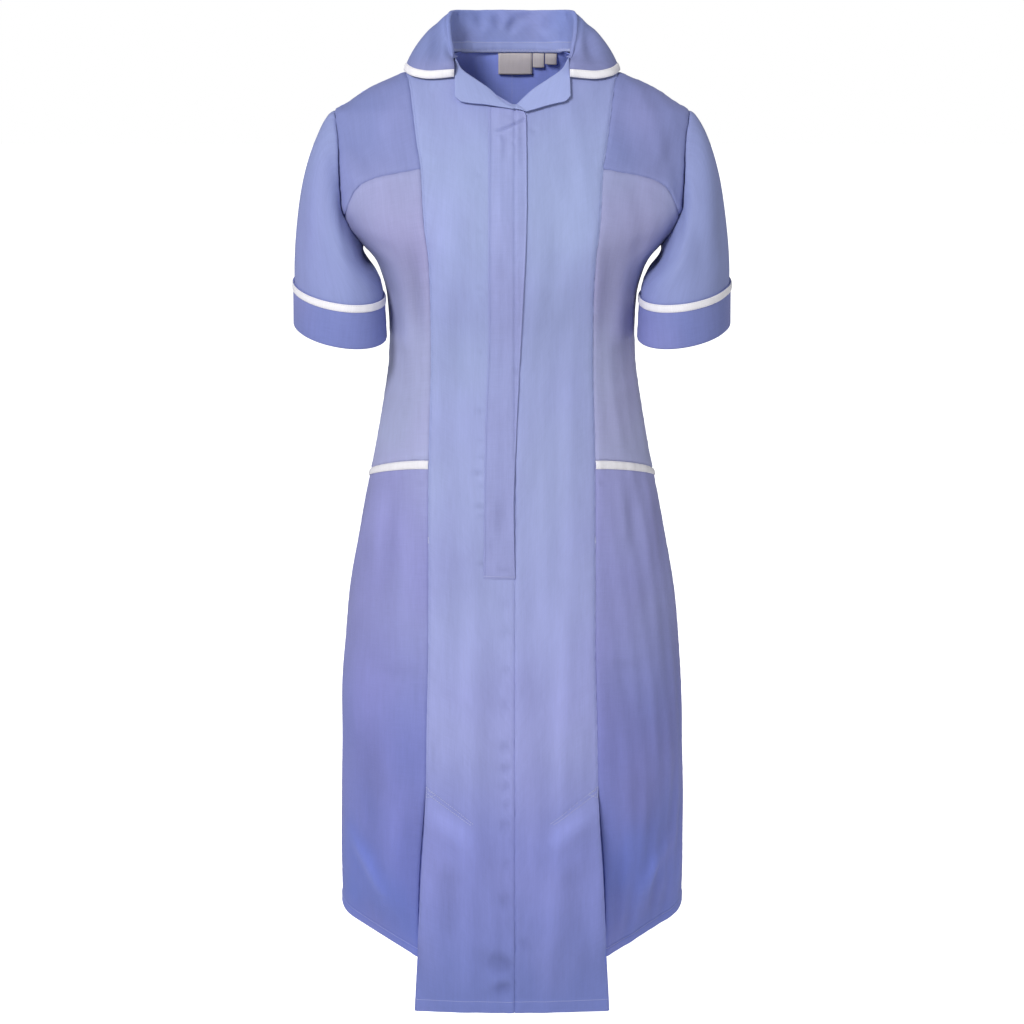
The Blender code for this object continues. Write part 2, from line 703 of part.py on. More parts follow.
def pocket_bag(side, skirt):
    """The pocket's inner bag, from the points of the panels that it hangs behind."""
    above = POCKET_BAG_ABOVE / np.linalg.norm(side.points[-1, 0] - side.points[-2, 0])
    below = POCKET_BAG_DEPTH / np.linalg.norm(skirt.points[1, 0] - skirt.points[0, 0])
    last = skirt.points.shape[1] - 1
    columns = [POCKET_BAG_MARGIN] + list(range(1, last)) + [last - POCKET_BAG_MARGIN]
    places = [(side, len(side.points) - 1 - above), (skirt, 0.0)]
    places += [(skirt, float(row)) for row in range(1, math.ceil(below))] + [(skirt, below)]
    return sheet_from([[read_sheet(sheet, row, column) for column in columns] for sheet, row in places])


def sheet_from(pairs):
    """A sheet from rows of (point, direction) pairs."""
    points = np.array([[point for point, _ in row] for row in pairs])
    normals = np.array([[normal for _, normal in row] for row in pairs])
    return Sheet(points, normals)


def pocket_trim(skirt):
    """The white binding on the pocket's mouth, made from the skirt panel's top edge."""
    depth = POCKET_TRIM_WIDTH / np.linalg.norm(skirt.points[1, 0] - skirt.points[0, 0])
    columns = range(skirt.points.shape[1])
    return sheet_from([[read_sheet(skirt, row, column) for column in columns] for row in (0.0, depth)])


def read_row(sheet, row, x):
    """A point and its direction on a sheet's row, at a distance from the middle."""
    low = int(row)
    lower = min(low + 1, len(sheet.points) - 1)
    points = sheet.points[low] + (sheet.points[lower] - sheet.points[low]) * (row - low)
    normals = sheet.normals[low] + (sheet.normals[lower] - sheet.normals[low]) * (row - low)
    order = np.argsort(points[:, 0])
    xs = points[order, 0]
    point = [np.interp(x, xs, points[order, axis]) for axis in range(3)]
    normal = [np.interp(x, xs, normals[order, axis]) for axis in range(3)]
    return np.array(point), np.array(normal)


def row_at(sheet, z):
    """The row of a middle panel, whole or part, whose middle edge lies at a height."""
    heights = sheet.points[:, 0, 2]
    return float(np.interp(-z, -heights, range(len(heights))))


def strip_on(left_panel, right_panel, left, right, top, end, columns):
    """A strip down the middle panels, between two edges given as distances from the middle."""
    first, last = row_at(left_panel, top), row_at(left_panel, end)
    whole_rows = range(math.ceil(first + STRIP_ROW_MARGIN), math.ceil(last - STRIP_ROW_MARGIN))
    rows = [first] + list(whole_rows) + [last]
    pairs = []
    for row in rows:
        z = read_row(left_panel, row, CENTRE_SEAM_X)[0][2]
        line = []
        for step in range(columns + 1):
            x = left(z) + (right(z) - left(z)) * step / columns
            line.append(read_row(left_panel if x > CENTRE_SEAM_X else right_panel, row, x))
        pairs.append(line)
    return sheet_from(pairs)


def triangles_of(sheets):
    """The corners of every triangle of some sheets, as points and as directions."""
    corners = []
    for sheet in sheets:
        both = np.concatenate(sheet, axis=2)
        upper, lower = both[:-1], both[1:]
        corners.append(np.stack((upper[:, :-1], lower[:, :-1], lower[:, 1:]), axis=2).reshape(-1, 3, 6))
        corners.append(np.stack((upper[:, :-1], lower[:, 1:], upper[:, 1:]), axis=2).reshape(-1, 3, 6))
    return np.concatenate(corners)


def read_front(triangles, x, z):
    """A point and its direction on the panels seen from the front at (x, z)."""
    first, second, third = (triangles[:, corner][:, (0, 2)] for corner in range(3))
    target = np.array((x, z))
    edge_one, edge_two, reach = second - first, third - first, target - first
    area = edge_one[:, 0] * edge_two[:, 1] - edge_one[:, 1] * edge_two[:, 0]
    share_one = (reach[:, 0] * edge_two[:, 1] - reach[:, 1] * edge_two[:, 0]) / area
    share_two = (edge_one[:, 0] * reach[:, 1] - edge_one[:, 1] * reach[:, 0]) / area
    inside = np.minimum(np.minimum(share_one, share_two), 1 - share_one - share_two)
    best = int(np.argmax(inside))
    corner, one, two = triangles[best]
    value = corner + (one - corner) * share_one[best] + (two - corner) * share_two[best]
    return value[:3], unit(value[3:])


def lapel(panels, side, edge, tip_x):
    """A lapel turned back over the front, from the roll line down to its lower edge.

    Its side is 1 for the wearer's left; places are measured towards that side."""
    reach = smooth_table([point.x for point in ROLL_LINE], [point.z for point in ROLL_LINE])
    steps = len(edge) - 1
    triangles = triangles_of(panels)
    pairs = []
    for row in range(LAPEL_ROWS + 1):
        down = row / LAPEL_ROWS
        line = []
        for step, low in enumerate(edge):
            top_x = LAPEL_TOP_X + (tip_x - LAPEL_TOP_X) * step / steps
            top_z = reach(top_x) - LAPEL_EDGE_INSET
            x, z = top_x + (low.x - top_x) * down, top_z + (low.z - top_z) * down
            line.append(read_front(triangles, side * x, z))
        pairs.append(line)
    return sheet_from(pairs)


def lapel_lift(sheet):
    """A lapel lies close at its roll and stands a little off at its lower edge."""
    rows, columns = sheet.points.shape[:2]
    return np.linspace(0, LAPEL_LIFT, rows)[:, None] * np.ones((1, columns))


def pleat_underlay(skirt):
    """The cloth folded back inside one pleat: a leaf behind the middle panel's
    folded edge, a turn, and a leaf that comes out again behind the side panel."""
    second_depth = PLEAT_FIRST_DEPTH + CLOTH + LAYER_GAP
    turn = (second_depth - PLEAT_FIRST_DEPTH) / 2
    lap = PLEAT_LAP / np.linalg.norm(skirt.points[-1, 1] - skirt.points[-1, 0])
    lines = []
    for row in range(PLEAT_ROWS + 1):
        share = row / PLEAT_ROWS
        line = []
        for step in range(PLEAT_LEAF_STEPS + 1):
            across = step / PLEAT_LEAF_STEPS
            top = PLEAT_STITCH_TOP + (PLEAT_TOP_INNER - PLEAT_STITCH_TOP) * across
            low = PLEAT_LEAF_HEM + (PLEAT_FOLD_HEM - PLEAT_LEAF_HEM) * across
            z = top + (low - top) * share
            opening = PLEAT_OPENING * pleat_share(z) * across
            angle = front_angle(PRINCESS_X(z) - LAYER_GAP - PLEAT_DEPTH * across, z)
            out = outward(centre_point, angle, z)
            line.append(centre_point(angle, z) - out * (PLEAT_FIRST_DEPTH + opening))
        fold, inward = line[-1], unit(line[-1] - line[-2])
        for bend in PLEAT_FOLD_BENDS:
            sideways = inward * turn * math.sin(math.radians(bend))
            line.append(fold + sideways - out * turn * (1 - math.cos(math.radians(bend))))
        start = fold - out * 2 * turn
        edge_row = ROWS_SKIRT_UPPER + PLEAT_ROW_INSET + (ROWS_SKIRT_LOWER - 2 * PLEAT_ROW_INSET) * share
        edge_point, edge_out = read_sheet(skirt, edge_row, 0.0)
        depth = second_depth - 2 * turn * min(pleat_share(edge_point[2]) * PLEAT_CLOSE_RATE, 1.0)
        edge = edge_point - edge_out * depth
        line += [start + (edge - start) * step / PLEAT_LEAF_STEPS for step in range(PLEAT_LEAF_STEPS + 1)]
        lap_point, lap_out = read_sheet(skirt, edge_row, lap)
        line.append(lap_point - lap_out * depth)
        lines.append(line)
    return sheet_through(np.array(lines))


def cuff_ring(height):
    """One ring of the cuff, at a height above its hem, starting at the outer line."""
    flare = CUFF_FLARE * (1 - height / CUFF_DEPTH)
    ring = []
    for around in UPPER_ARM + LOWER_ARM + [angle for angle in reversed(BACK_ARM[1:-1])]:
        x = CUFF_CENTRE[0] + (CUFF_HALF_X + flare) * math.cos(around)
        y = CUFF_CENTRE[1] - (CUFF_HALF_Y + flare) * math.sin(around) + CUFF_SKEW * math.cos(around)
        z = CUFF_HEM + CUFF_TILT_OUT * math.cos(around) - CUFF_TILT_FRONT * math.sin(around) + height
        ring.append((x, y, z))
    return np.array(ring)


def sleeve_sheet():
    """The sleeve from the armhole seam to the cuff's hem, as rings of points."""
    stations = UPPER_ARM + LOWER_ARM + [angle for angle in reversed(BACK_ARM[1:-1])]
    arounds = [row.around for row in SLEEVE_LEAVES]
    leaves = [smooth_table(arounds, [row[axis] for row in SLEEVE_LEAVES]) for axis in (1, 2, 3)]
    seam = np.array([body_point(*armhole_point(around)) for around in stations])
    leave = np.array([[read(math.degrees(around)) for read in leaves] for around in stations])
    lift = np.array([outward(body_point, *armhole_point(around)) for around in stations])
    start = seam + (unit(leave) + lift) * SLEEVE_START
    cuff_rings = [cuff_ring(height) for height in CUFF_ROW_HEIGHTS]
    end = cuff_rings[0]
    reach = np.linalg.norm(end - start, axis=1, keepdims=True)
    last_control = end + np.array((0.0, 0.0, SLEEVE_DROP)) * reach
    rings = []
    for row in range(SLEEVE_ROWS):
        share = row / SLEEVE_ROWS
        rest = 1 - share
        rings.append(start * rest ** 3 + (start + leave) * 3 * share * rest ** 2
                     + last_control * 3 * share ** 2 * rest + end * share ** 3)
    return sheet_through(np.array(rings + cuff_rings), closed=True)


def rows_of(sheet, first, last):
    return Sheet(sheet.points[first:last], sheet.normals[first:last])


def collar_sheet():
    """The folded collar: stand, turn and leaf across; one front end to the other along."""
    shares = [row.share for row in COLLAR_POINTS]
    seam_angle = smooth_table(shares, [row.seam_angle for row in COLLAR_POINTS])
    seam_z = smooth_table(shares, [row.seam_z for row in COLLAR_POINTS])
    fold = [smooth_table(shares, [row.fold[axis] for row in COLLAR_POINTS]) for axis in range(3)]
    edge = [smooth_table(shares, [row.edge[axis] for row in COLLAR_POINTS]) for axis in range(3)]
    up = np.array((0.0, 0.0, 1.0))
    columns = []
    for step in range(COLLAR_COLUMNS):
        along = -1 + 2 * step / (COLLAR_COLUMNS - 1)
        share = abs(along)
        side = np.array((math.copysign(1.0, along), 1.0, 1.0))
        angle, z = math.radians(seam_angle(share)), seam_z(share)
        base = body_point(angle, z) - outward(body_point, angle, z) * CLOTH / 2 + up * CLOTH
        crest = np.array([read(share) for read in fold])
        rim = np.array([read(share) for read in edge])
        out = unit((rim - crest) * np.array((1.0, 1.0, 0.0)))
        hub = crest - up * COLLAR_TURN
        column = [base, base * 0.5 + (hub - out * COLLAR_TURN) * 0.5]
        for bend in COLLAR_FOLD_BENDS:
            turned = math.radians(bend)
            column.append(hub - out * COLLAR_TURN * math.cos(turned) + up * COLLAR_TURN * math.sin(turned))
        start = column[-1]
        control = (start + rim) / 2 + out * COLLAR_BULGE + up * COLLAR_BULGE / 2
        for leaf in COLLAR_LEAF_SHARES:
            column.append(start * (1 - leaf) ** 2 + control * 2 * leaf * (1 - leaf) + rim * leaf ** 2)
        columns.append([point * side for point in column])
    points = np.array(columns).transpose(1, 0, 2)
    sheet = sheet_through(points)
    middle = COLLAR_COLUMNS // 2
    if sheet.normals[-1, middle, 1] < 0:
        sheet = Sheet(sheet.points, -sheet.normals)
    return sheet


def collar_trim(collar):
    """The white binding along the leaf's outer edge."""
    last = len(collar.points) - 1
    points, normals = [], []
    for column in range(collar.points.shape[1]):
        depth = np.linalg.norm(collar.points[last, column] - collar.points[last - 1, column])
        share = min(COLLAR_TRIM_WIDTH / depth, COLLAR_TRIM_LIMIT)
        inner_point, inner_normal = read_sheet(collar, last - share, column)
        points.append((inner_point, collar.points[last, column]))
        normals.append((inner_normal, collar.normals[last, column]))
    return Sheet(np.array(points).transpose(1, 0, 2), np.array(normals).transpose(1, 0, 2))


def label_sheet(label):
    xs = np.linspace(label.x_from, label.x_to, LABEL_COLUMNS + 1)
    heights = np.linspace(label.top, label.bottom, len(LABEL_HANGS))
    grid = [[(back_angle(x, z), z) for x in xs] for z in heights]
    return sheet_on(body_point, np.array(grid))


def make_bodice_and_skirt():
    left, right = centre_panel(1), mirrored(centre_panel(-1))
    wall("front_centre_left", trimmed(left), 0.0, -CLOTH, BLUE)
    wall("front_centre_right", trimmed(right), 0.0, -CLOTH, BLUE)
    both_sides("front_yoke", trimmed(yoke_panel()), 0.0, -CLOTH, BLUE_DEEP)
    side, skirt = trimmed(side_panel()), trimmed(skirt_panel())
    both_sides("front_side", side, 0.0, -CLOTH, BLUE_SIDE)
    both_sides("skirt_side", skirt, 0.0, -CLOTH, BLUE_DEEP)
    both_sides("back_centre", trimmed(back_centre_panel()), 0.0, -CLOTH, BLUE)
    both_sides("back_side", trimmed(back_side_panel()), 0.0, -CLOTH, BLUE_SIDE)
    make_pockets(side, skirt)
    make_front_opening(left, right)
    make_pleats(skirt)
    make_collar_and_lapels((left, right))


def make_pockets(side, skirt):
    behind = CLOTH + LAYER_GAP
    both_sides("pocket_bag", pocket_bag(side, skirt), -behind, -behind - CLOTH, BLUE_DEEP)
    both_sides("pocket_trim", pocket_trim(skirt), LAYER_GAP + TRIM_CLOTH, LAYER_GAP, WHITE)


def make_pleats(skirt):
    both_sides("pleat_underlay", pleat_underlay(skirt), CLOTH / 2, -CLOTH / 2, BLUE_DEEP)


def make_front_opening(left, right):
    placket = strip_on(left, right, seam_x(PLACKET_STITCH), seam_x(PLACKET_FOLD), PLACKET_TOP, PLACKET_END,
                       COLUMNS_PLACKET)
    wall("placket", placket, LAYER_GAP + CLOTH, LAYER_GAP, BLUE)
    tape = strip_on(left, right, lambda z: CENTRE_SEAM_X - ZIP_TAPE_WIDTH / 2,
                    lambda z: CENTRE_SEAM_X + ZIP_TAPE_WIDTH / 2, ZIP_TAPE_TOP, PLACKET_END, COLUMNS_TAPE)
    behind = CLOTH + LAYER_GAP
    wall("zip_tape", tape, -behind, -behind - CLOTH, BLUE_DEEP)


def make_collar_and_lapels(panels):
    left = lapel(panels, 1, LAPEL_EDGE_LEFT, LAPEL_TIP_X + SEAM_GAP * 2)
    right = lapel(panels, -1, LAPEL_EDGE_RIGHT, -LAPEL_TIP_X)
    for name, sheet in (("lapel_left", left), ("lapel_right", right)):
        lift = lapel_lift(sheet) + LAPEL_GAP
        wall(name, sheet, lift + CLOTH, lift, BLUE)
    collar = collar_sheet()
    wall("collar", collar, CLOTH / 2, -CLOTH / 2, BLUE_DEEP)
    lowest = CLOTH / 2 + LAYER_GAP
    wall("collar_trim", collar_trim(collar), lowest + TRIM_CLOTH, lowest, WHITE, TRIM_ROUGHNESS)


def make_sleeves():
    sleeve = sleeve_sheet()
    both_sides("sleeve", trimmed(sleeve, closed=True), 0.0, -CLOTH, BLUE_DEEP, closed=True)
    first = len(sleeve.points) - len(CUFF_ROW_HEIGHTS)
    cuff = rows_of(sleeve, first, None)
    both_sides("cuff", cuff, SEAM_GAP + CLOTH, SEAM_GAP, BLUE_DEEP, closed=True)
    band = rows_of(sleeve, first, first + 2)
    under_trim = 2 * SEAM_GAP + CLOTH
    both_sides("cuff_trim", band, under_trim + TRIM_CLOTH, under_trim, WHITE, closed=True)


def make_labels():
    behind = CLOTH + LAYER_GAP
    for label in LABELS:
        sheet = label_sheet(label)
        hang = np.array(LABEL_HANGS)[:, None] * np.ones((1, sheet.points.shape[1]))
        wall(label.name, sheet, -behind - hang, -behind - LABEL_CLOTH - hang, LABEL_GREY)


remove_everything()
make_bodice_and_skirt()
make_sleeves()
make_labels()
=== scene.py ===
"""Nurse uniform dress, filled out as worn, in periwinkle blue twill with white bindings.

Metres, +Z up. The front faces -Y and the wearer's left is +X. The sections follow the
making: the panels, the skirt's pleats and pockets, the front opening, the collar and
lapels, the sleeves, the labels, the sewing, and last the light it is shown in.
"""
import json
import math
from collections import namedtuple

import bpy
import numpy as np
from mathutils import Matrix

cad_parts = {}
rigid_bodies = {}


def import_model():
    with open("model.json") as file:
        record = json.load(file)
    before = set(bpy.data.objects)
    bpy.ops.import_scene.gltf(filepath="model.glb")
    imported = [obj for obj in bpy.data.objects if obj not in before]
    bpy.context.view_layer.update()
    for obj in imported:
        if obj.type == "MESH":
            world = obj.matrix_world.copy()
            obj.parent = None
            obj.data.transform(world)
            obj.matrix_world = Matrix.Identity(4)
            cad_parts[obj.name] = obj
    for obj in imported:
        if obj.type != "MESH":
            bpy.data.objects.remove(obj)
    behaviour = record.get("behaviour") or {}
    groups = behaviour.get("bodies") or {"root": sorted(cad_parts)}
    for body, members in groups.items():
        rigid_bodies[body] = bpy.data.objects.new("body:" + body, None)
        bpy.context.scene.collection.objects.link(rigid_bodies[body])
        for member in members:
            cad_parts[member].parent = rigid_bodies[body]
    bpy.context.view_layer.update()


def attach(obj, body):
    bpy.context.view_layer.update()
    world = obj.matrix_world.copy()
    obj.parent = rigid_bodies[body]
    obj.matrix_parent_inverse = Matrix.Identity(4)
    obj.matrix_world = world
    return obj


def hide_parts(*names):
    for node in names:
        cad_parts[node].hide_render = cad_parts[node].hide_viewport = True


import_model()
for scene_object in bpy.context.scene.objects:
    scene_object.select_set(False)


# Front middle panels
# Two long panels from the neck to the hem, joined down the middle by the zip and by a
# plain seam below it. They are cut on the straight grain and pressed flat at the seams.
CLOTH = 0.0012
SEAM_GAP = 0.0003
SEAM_CLOSED = 0.00002
LAYER_GAP = 0.0005
HEM_FRONT, HEM_PLEAT, HEM_SIDE, HEM_BACK = -1.045, -1.020, -1.015, -1.030
BACK_NECK, FRONT_NECK = 0.009, -0.0507
NECK_SETTLE, BACK_SETTLE = 0.25, 0.20
SHOULDER_PRINCESS, SHOULDER_TIP = -0.017, -0.0562
BUST_SEAM, ARMPIT_FRONT, UNDERARM = -0.1126, -0.1625, -0.195
POCKET_INNER, POCKET_OUTER, POCKET_DROP_EASE = -0.4156, -0.4480, 1.4
PLEAT_TOP, PLEAT_TOP_INNER, PLEAT_EASE = -0.7727, -0.8138, 1.25
CENTRE_SEAM_X = 0.003
ROUNDNESS = 2.3
RIGHT_ANGLE = math.pi / 2
SMALL_STEP = 1e-3

Section = namedtuple("Section", "z half_width side_y front back")
SECTIONS = (
    Section(0.014, 0.056, 0.000, 0.022, 0.048),
    Section(0.000, 0.066, 0.000, 0.028, 0.050),
    Section(-0.017, 0.112, 0.000, 0.036, 0.056),
    Section(-0.033, 0.150, 0.000, 0.043, 0.063),
    Section(-0.047, 0.172, 0.000, 0.050, 0.069),
    Section(-0.059, 0.190, 0.000, 0.056, 0.074),
    Section(-0.080, 0.195, 0.000, 0.066, 0.080),
    Section(-0.120, 0.199, 0.000, 0.084, 0.089),
    Section(-0.150, 0.196, 0.000, 0.098, 0.093),
    Section(-0.175, 0.181, 0.000, 0.108, 0.094),
    Section(-0.195, 0.161, 0.000, 0.113, 0.094),
    Section(-0.220, 0.1440, 0.000, 0.114, 0.092),
    Section(-0.250, 0.1360, 0.000, 0.110, 0.088),
    Section(-0.280, 0.1345, 0.000, 0.104, 0.084),
    Section(-0.320, 0.1360, 0.000, 0.101, 0.081),
    Section(-0.360, 0.1420, 0.000, 0.104, 0.082),
    Section(-0.420, 0.1530, 0.000, 0.112, 0.090),
    Section(-0.500, 0.1700, 0.000, 0.123, 0.108),
    Section(-0.600, 0.1880, 0.000, 0.133, 0.119),
    Section(-0.700, 0.1980, 0.000, 0.142, 0.123),
    Section(-0.800, 0.2035, 0.012, 0.163, 0.116),
    Section(-0.900, 0.2090, 0.028, 0.185, 0.105),
    Section(-1.050, 0.2135, 0.045, 0.210, 0.095),
)
SeamPoint = namedtuple("SeamPoint", "z x")
PRINCESS_SEAM = (
    SeamPoint(-0.017, 0.1120), SeamPoint(-0.026, 0.1077), SeamPoint(-0.050, 0.1035),
    SeamPoint(-0.085, 0.0986), SeamPoint(-0.113, 0.0940), SeamPoint(-0.165, 0.0908),
    SeamPoint(-0.203, 0.0865), SeamPoint(-0.243, 0.0853), SeamPoint(-0.309, 0.0861),
    SeamPoint(-0.416, 0.0893), SeamPoint(-0.610, 0.0912), SeamPoint(-0.700, 0.0938),
    SeamPoint(-0.781, 0.0958), SeamPoint(-0.907, 0.1037), SeamPoint(-1.049, 0.1112),
)
ROLL_LINE = (
    SeamPoint(-0.0507, 0.0063), SeamPoint(-0.0360, 0.0226), SeamPoint(-0.0258, 0.0383),
    SeamPoint(-0.0158, 0.0525), SeamPoint(-0.0045, 0.0592), SeamPoint(-0.0010, 0.0632),
)
FLAT_FRONT_Y, FLAT_FRONT_CURVE = -0.1640, 0.50


def smooth_table(keys, values):
    """A function through the rows of a table, smooth and never overshooting them."""
    order = np.argsort(keys)
    key = np.asarray(keys, dtype=float)[order]
    value = np.asarray(values, dtype=float)[order]
    step = np.diff(key)
    rise = np.diff(value) / step
    before, after = rise[:-1], rise[1:]
    level = before * after <= 0
    inner = np.where(level, 0.0, 2 * before * after / np.where(level, 1.0, before + after))
    slope = np.concatenate((rise[:1], inner, rise[-1:]))

    def read(where):
        inside = np.clip(where, key[0], key[-1])
        cell = np.clip(np.searchsorted(key, inside, side="right") - 1, 0, len(step) - 1)
        share = (inside - key[cell]) / step[cell]
        bend = share * share * (3 - 2 * share)
        start = share * (1 - share) ** 2 * step[cell] * slope[cell]
        finish = share * share * (share - 1) * step[cell] * slope[cell + 1]
        return value[cell] + (value[cell + 1] - value[cell]) * bend + start + finish

    return read


def seam_x(points):
    return smooth_table([point.z for point in points], [point.x for point in points])


heights = [row.z for row in SECTIONS]
half_width = smooth_table(heights, [row.half_width for row in SECTIONS])
side_y = smooth_table(heights, [row.side_y for row in SECTIONS])
front_reach = smooth_table(heights, [row.front for row in SECTIONS])
back_reach = smooth_table(heights, [row.back for row in SECTIONS])
princess_x = seam_x(PRINCESS_SEAM)


def body_form(angle, z):
    """The body form: angle 0 is the front middle, 90 degrees the +X side, 180 the back."""
    sine, cosine = np.sin(angle), np.cos(angle)
    across = np.sign(sine) * np.abs(sine) ** (2 / ROUNDNESS)
    along = np.abs(cosine) ** (2 / ROUNDNESS)
    depth = np.where(cosine > 0, -front_reach(z), back_reach(z))
    return np.stack((half_width(z) * across, side_y(z) + depth * along, z + 0 * across), axis=-1)


def front_angle(x, z):
    """The angle at which the front of the body form is x from the middle."""
    share = np.clip(np.abs(x) / half_width(z), 0, 1)
    return np.sign(x) * np.arcsin(share ** (ROUNDNESS / 2))


def princess_angle(z):
    return front_angle(princess_x(z), z)


def pleat_share(z):
    """How far the pleats have opened at a height: 0 at their top, 1 at the hem."""
    return np.clip((PLEAT_TOP - z) / (PLEAT_TOP - HEM_PLEAT), 0, None) ** PLEAT_EASE


def middle_form(angle, z):
    """The front middle panels, which hang flatter once the pleats set them free."""
    points = body_form(angle, z)
    flat_y = FLAT_FRONT_Y + FLAT_FRONT_CURVE * points[..., 0] ** 2
    points[..., 1] += (flat_y - points[..., 1]) * pleat_share(points[..., 2])
    return points


def unit(vectors):
    return vectors / np.linalg.norm(vectors, axis=-1, keepdims=True)


def outward(form, angle, z):
    """The direction straight out of a form's cloth."""
    around = form(angle + SMALL_STEP, z) - form(angle - SMALL_STEP, z)
    down = form(angle, z - SMALL_STEP) - form(angle, z + SMALL_STEP)
    return unit(np.cross(down, around))


def eased(share):
    inside = np.clip(share, 0, 1)
    return inside * inside * (3 - 2 * inside)


# A sheet of cloth: its points, the way out of it, each point's place on the flat cut, and
# how far the cloth stands up there in creases and seams, which also sets its painted light
# and shade; the collar adds painted shade on its leaf to it
Sheet = namedtuple("Sheet", "points normals cut lift", defaults=(0.0,))


def sheet_of(points, normals=None):
    if normals is None:
        normals = unit(np.cross(np.gradient(points, axis=0), np.gradient(points, axis=1)))
    across = np.linalg.norm(np.diff(points, axis=1, prepend=points[:, :1]), axis=2).cumsum(axis=1)
    down = np.linalg.norm(np.diff(points, axis=0, prepend=points[:1]), axis=2).cumsum(axis=0)
    return Sheet(points, normals, np.stack((across, down), axis=-1))


def mirrored(sheet):
    flip = np.array((-1.0, 1.0, 1.0))
    return Sheet(sheet.points * flip, sheet.normals * flip, sheet.cut)


def drawn_in(sheet, gap=SEAM_CLOSED):
    """A sheet with its edges drawn in so little that its seams look closed."""
    points = sheet.points.copy()
    source = sheet.points
    points[0] += unit(source[1] - source[0]) * gap
    points[-1] += unit(source[-2] - source[-1]) * gap
    points[:, 0] += unit(source[:, 1] - source[:, 0]) * gap
    points[:, -1] += unit(source[:, -2] - source[:, -1]) * gap
    return Sheet(points, sheet.normals, sheet.cut)


# Rows and columns lie closer at a panel's edges, where the cloth rolls into its seams
CELL = 0.0031
EDGE_STEPS = (0.0, 0.0004, 0.0011, 0.0024)


def shares_along(path, cell=CELL):
    dense = np.linspace(0, 1, 400)
    steps = np.linalg.norm(np.diff(path(dense), axis=0), axis=1)
    reach = np.concatenate(([0.0], steps.cumsum()))
    edge = np.array(EDGE_STEPS[:-1])
    count = max(int(reach[-1] / cell), 2)
    inner = np.linspace(EDGE_STEPS[-1], reach[-1] - EDGE_STEPS[-1], count)
    wanted = np.concatenate((edge, inner, reach[-1] - edge[::-1]))
    return np.interp(wanted, reach, dense)


def middle_panel():
    """The wearer's left middle panel; the right one is its mirror image, set off the zip."""
    roll_rows = np.linspace(0, 1, len(ROLL_LINE) + 1)

    def outer_x(z):
        return np.where(z > SHOULDER_PRINCESS, half_width(z), princess_x(z))

    def outer_edge(share):
        z = share * HEM_FRONT
        return middle_form(front_angle(outer_x(z), z), z)

    def build(side):
        z_outer = shares_along(outer_edge) * HEM_FRONT
        outer = np.stack((outer_x(z_outer), z_outer), axis=-1)[:, None]
        z_middle = z_outer + FRONT_NECK * eased(1 + z_outer / NECK_SETTLE)
        middle = np.stack((np.full_like(z_outer, side * CENTRE_SEAM_X), z_middle), axis=-1)[:, None]
        corner_x, corner_z = middle[0, 0]
        top_x = smooth_table(roll_rows, [corner_x] + [p.x for p in ROLL_LINE[1:]] + [half_width(0.0)])
        top_z = smooth_table(roll_rows, [corner_z] + [p.z for p in ROLL_LINE[1:]] + [0.0])
        columns = shares_along(lambda share: middle_form(front_angle(top_x(share), top_z(share)), top_z(share)))
        top = np.stack((top_x(columns), top_z(columns)), axis=-1)
        at_top = ((top - middle[0]) / (outer[0] - middle[0]))[None]
        settled = eased(np.interp(-z_outer, (0, -SHOULDER_PRINCESS, -BUST_SEAM), (0.0, 0.2, 1.0)))
        spacing = at_top + (columns[None, :, None] - at_top) * settled[:, None, None]
        place = middle + (outer - middle) * spacing
        angle = front_angle(place[..., 0], place[..., 1])
        return sheet_of(middle_form(angle, place[..., 1]), outward(middle_form, angle, place[..., 1]))

    return drawn_in(build(1)), drawn_in(mirrored(build(-1)))


# Relief: seams roll in and pucker, the cloth waves softly, and creases are listed one by one.
# A crease runs between two places seen from the front; a positive height is a ridge.
Crease = namedtuple("Crease", "x_from z_from x_to z_to bow width height")
SEAM_ROLL, SEAM_ROLL_WIDTH = 0.00080, 0.0013
ALLOWANCE_RISE, ALLOWANCE_WIDTH, ALLOWANCE_FADE = 0.00028, 0.0120, 0.0045
PUCKER, PUCKER_REACH = 0.00050, 0.0080
PUCKER_LENGTHS = (0.0092, 0.0147, 0.0231)
SWELL, SWELL_WIDTH = 0.3, 2.2


def ripple(along, seed):
    phases = np.random.default_rng(seed).uniform(0, 2 * math.pi, len(PUCKER_LENGTHS))
    waves = [np.sin(2 * math.pi * along / length + phase) for length, phase in zip(PUCKER_LENGTHS, phases)]
    return sum(waves) / len(waves)


def edge_distances(sheet):
    across, down = sheet.cut[..., 0], sheet.cut[..., 1]
    return {"left": across, "right": across[:, -1:] - across, "top": down, "bottom": down[-1:] - down}


def seam_relief(sheet, sewn, seed):
    relief = np.zeros(sheet.points.shape[:2])
    for number, (side, away) in enumerate(edge_distances(sheet).items()):
        if side not in sewn:
            continue
        along = sheet.cut[..., 1] if side in ("left", "right") else sheet.cut[..., 0]
        relief -= SEAM_ROLL * np.exp(-(away / SEAM_ROLL_WIDTH) ** 2)
        relief += ALLOWANCE_RISE * eased((ALLOWANCE_WIDTH - away) / ALLOWANCE_FADE) * eased(away / 0.003)
        relief += PUCKER * np.exp(-away / PUCKER_REACH) * ripple(along, seed + number)
    return relief


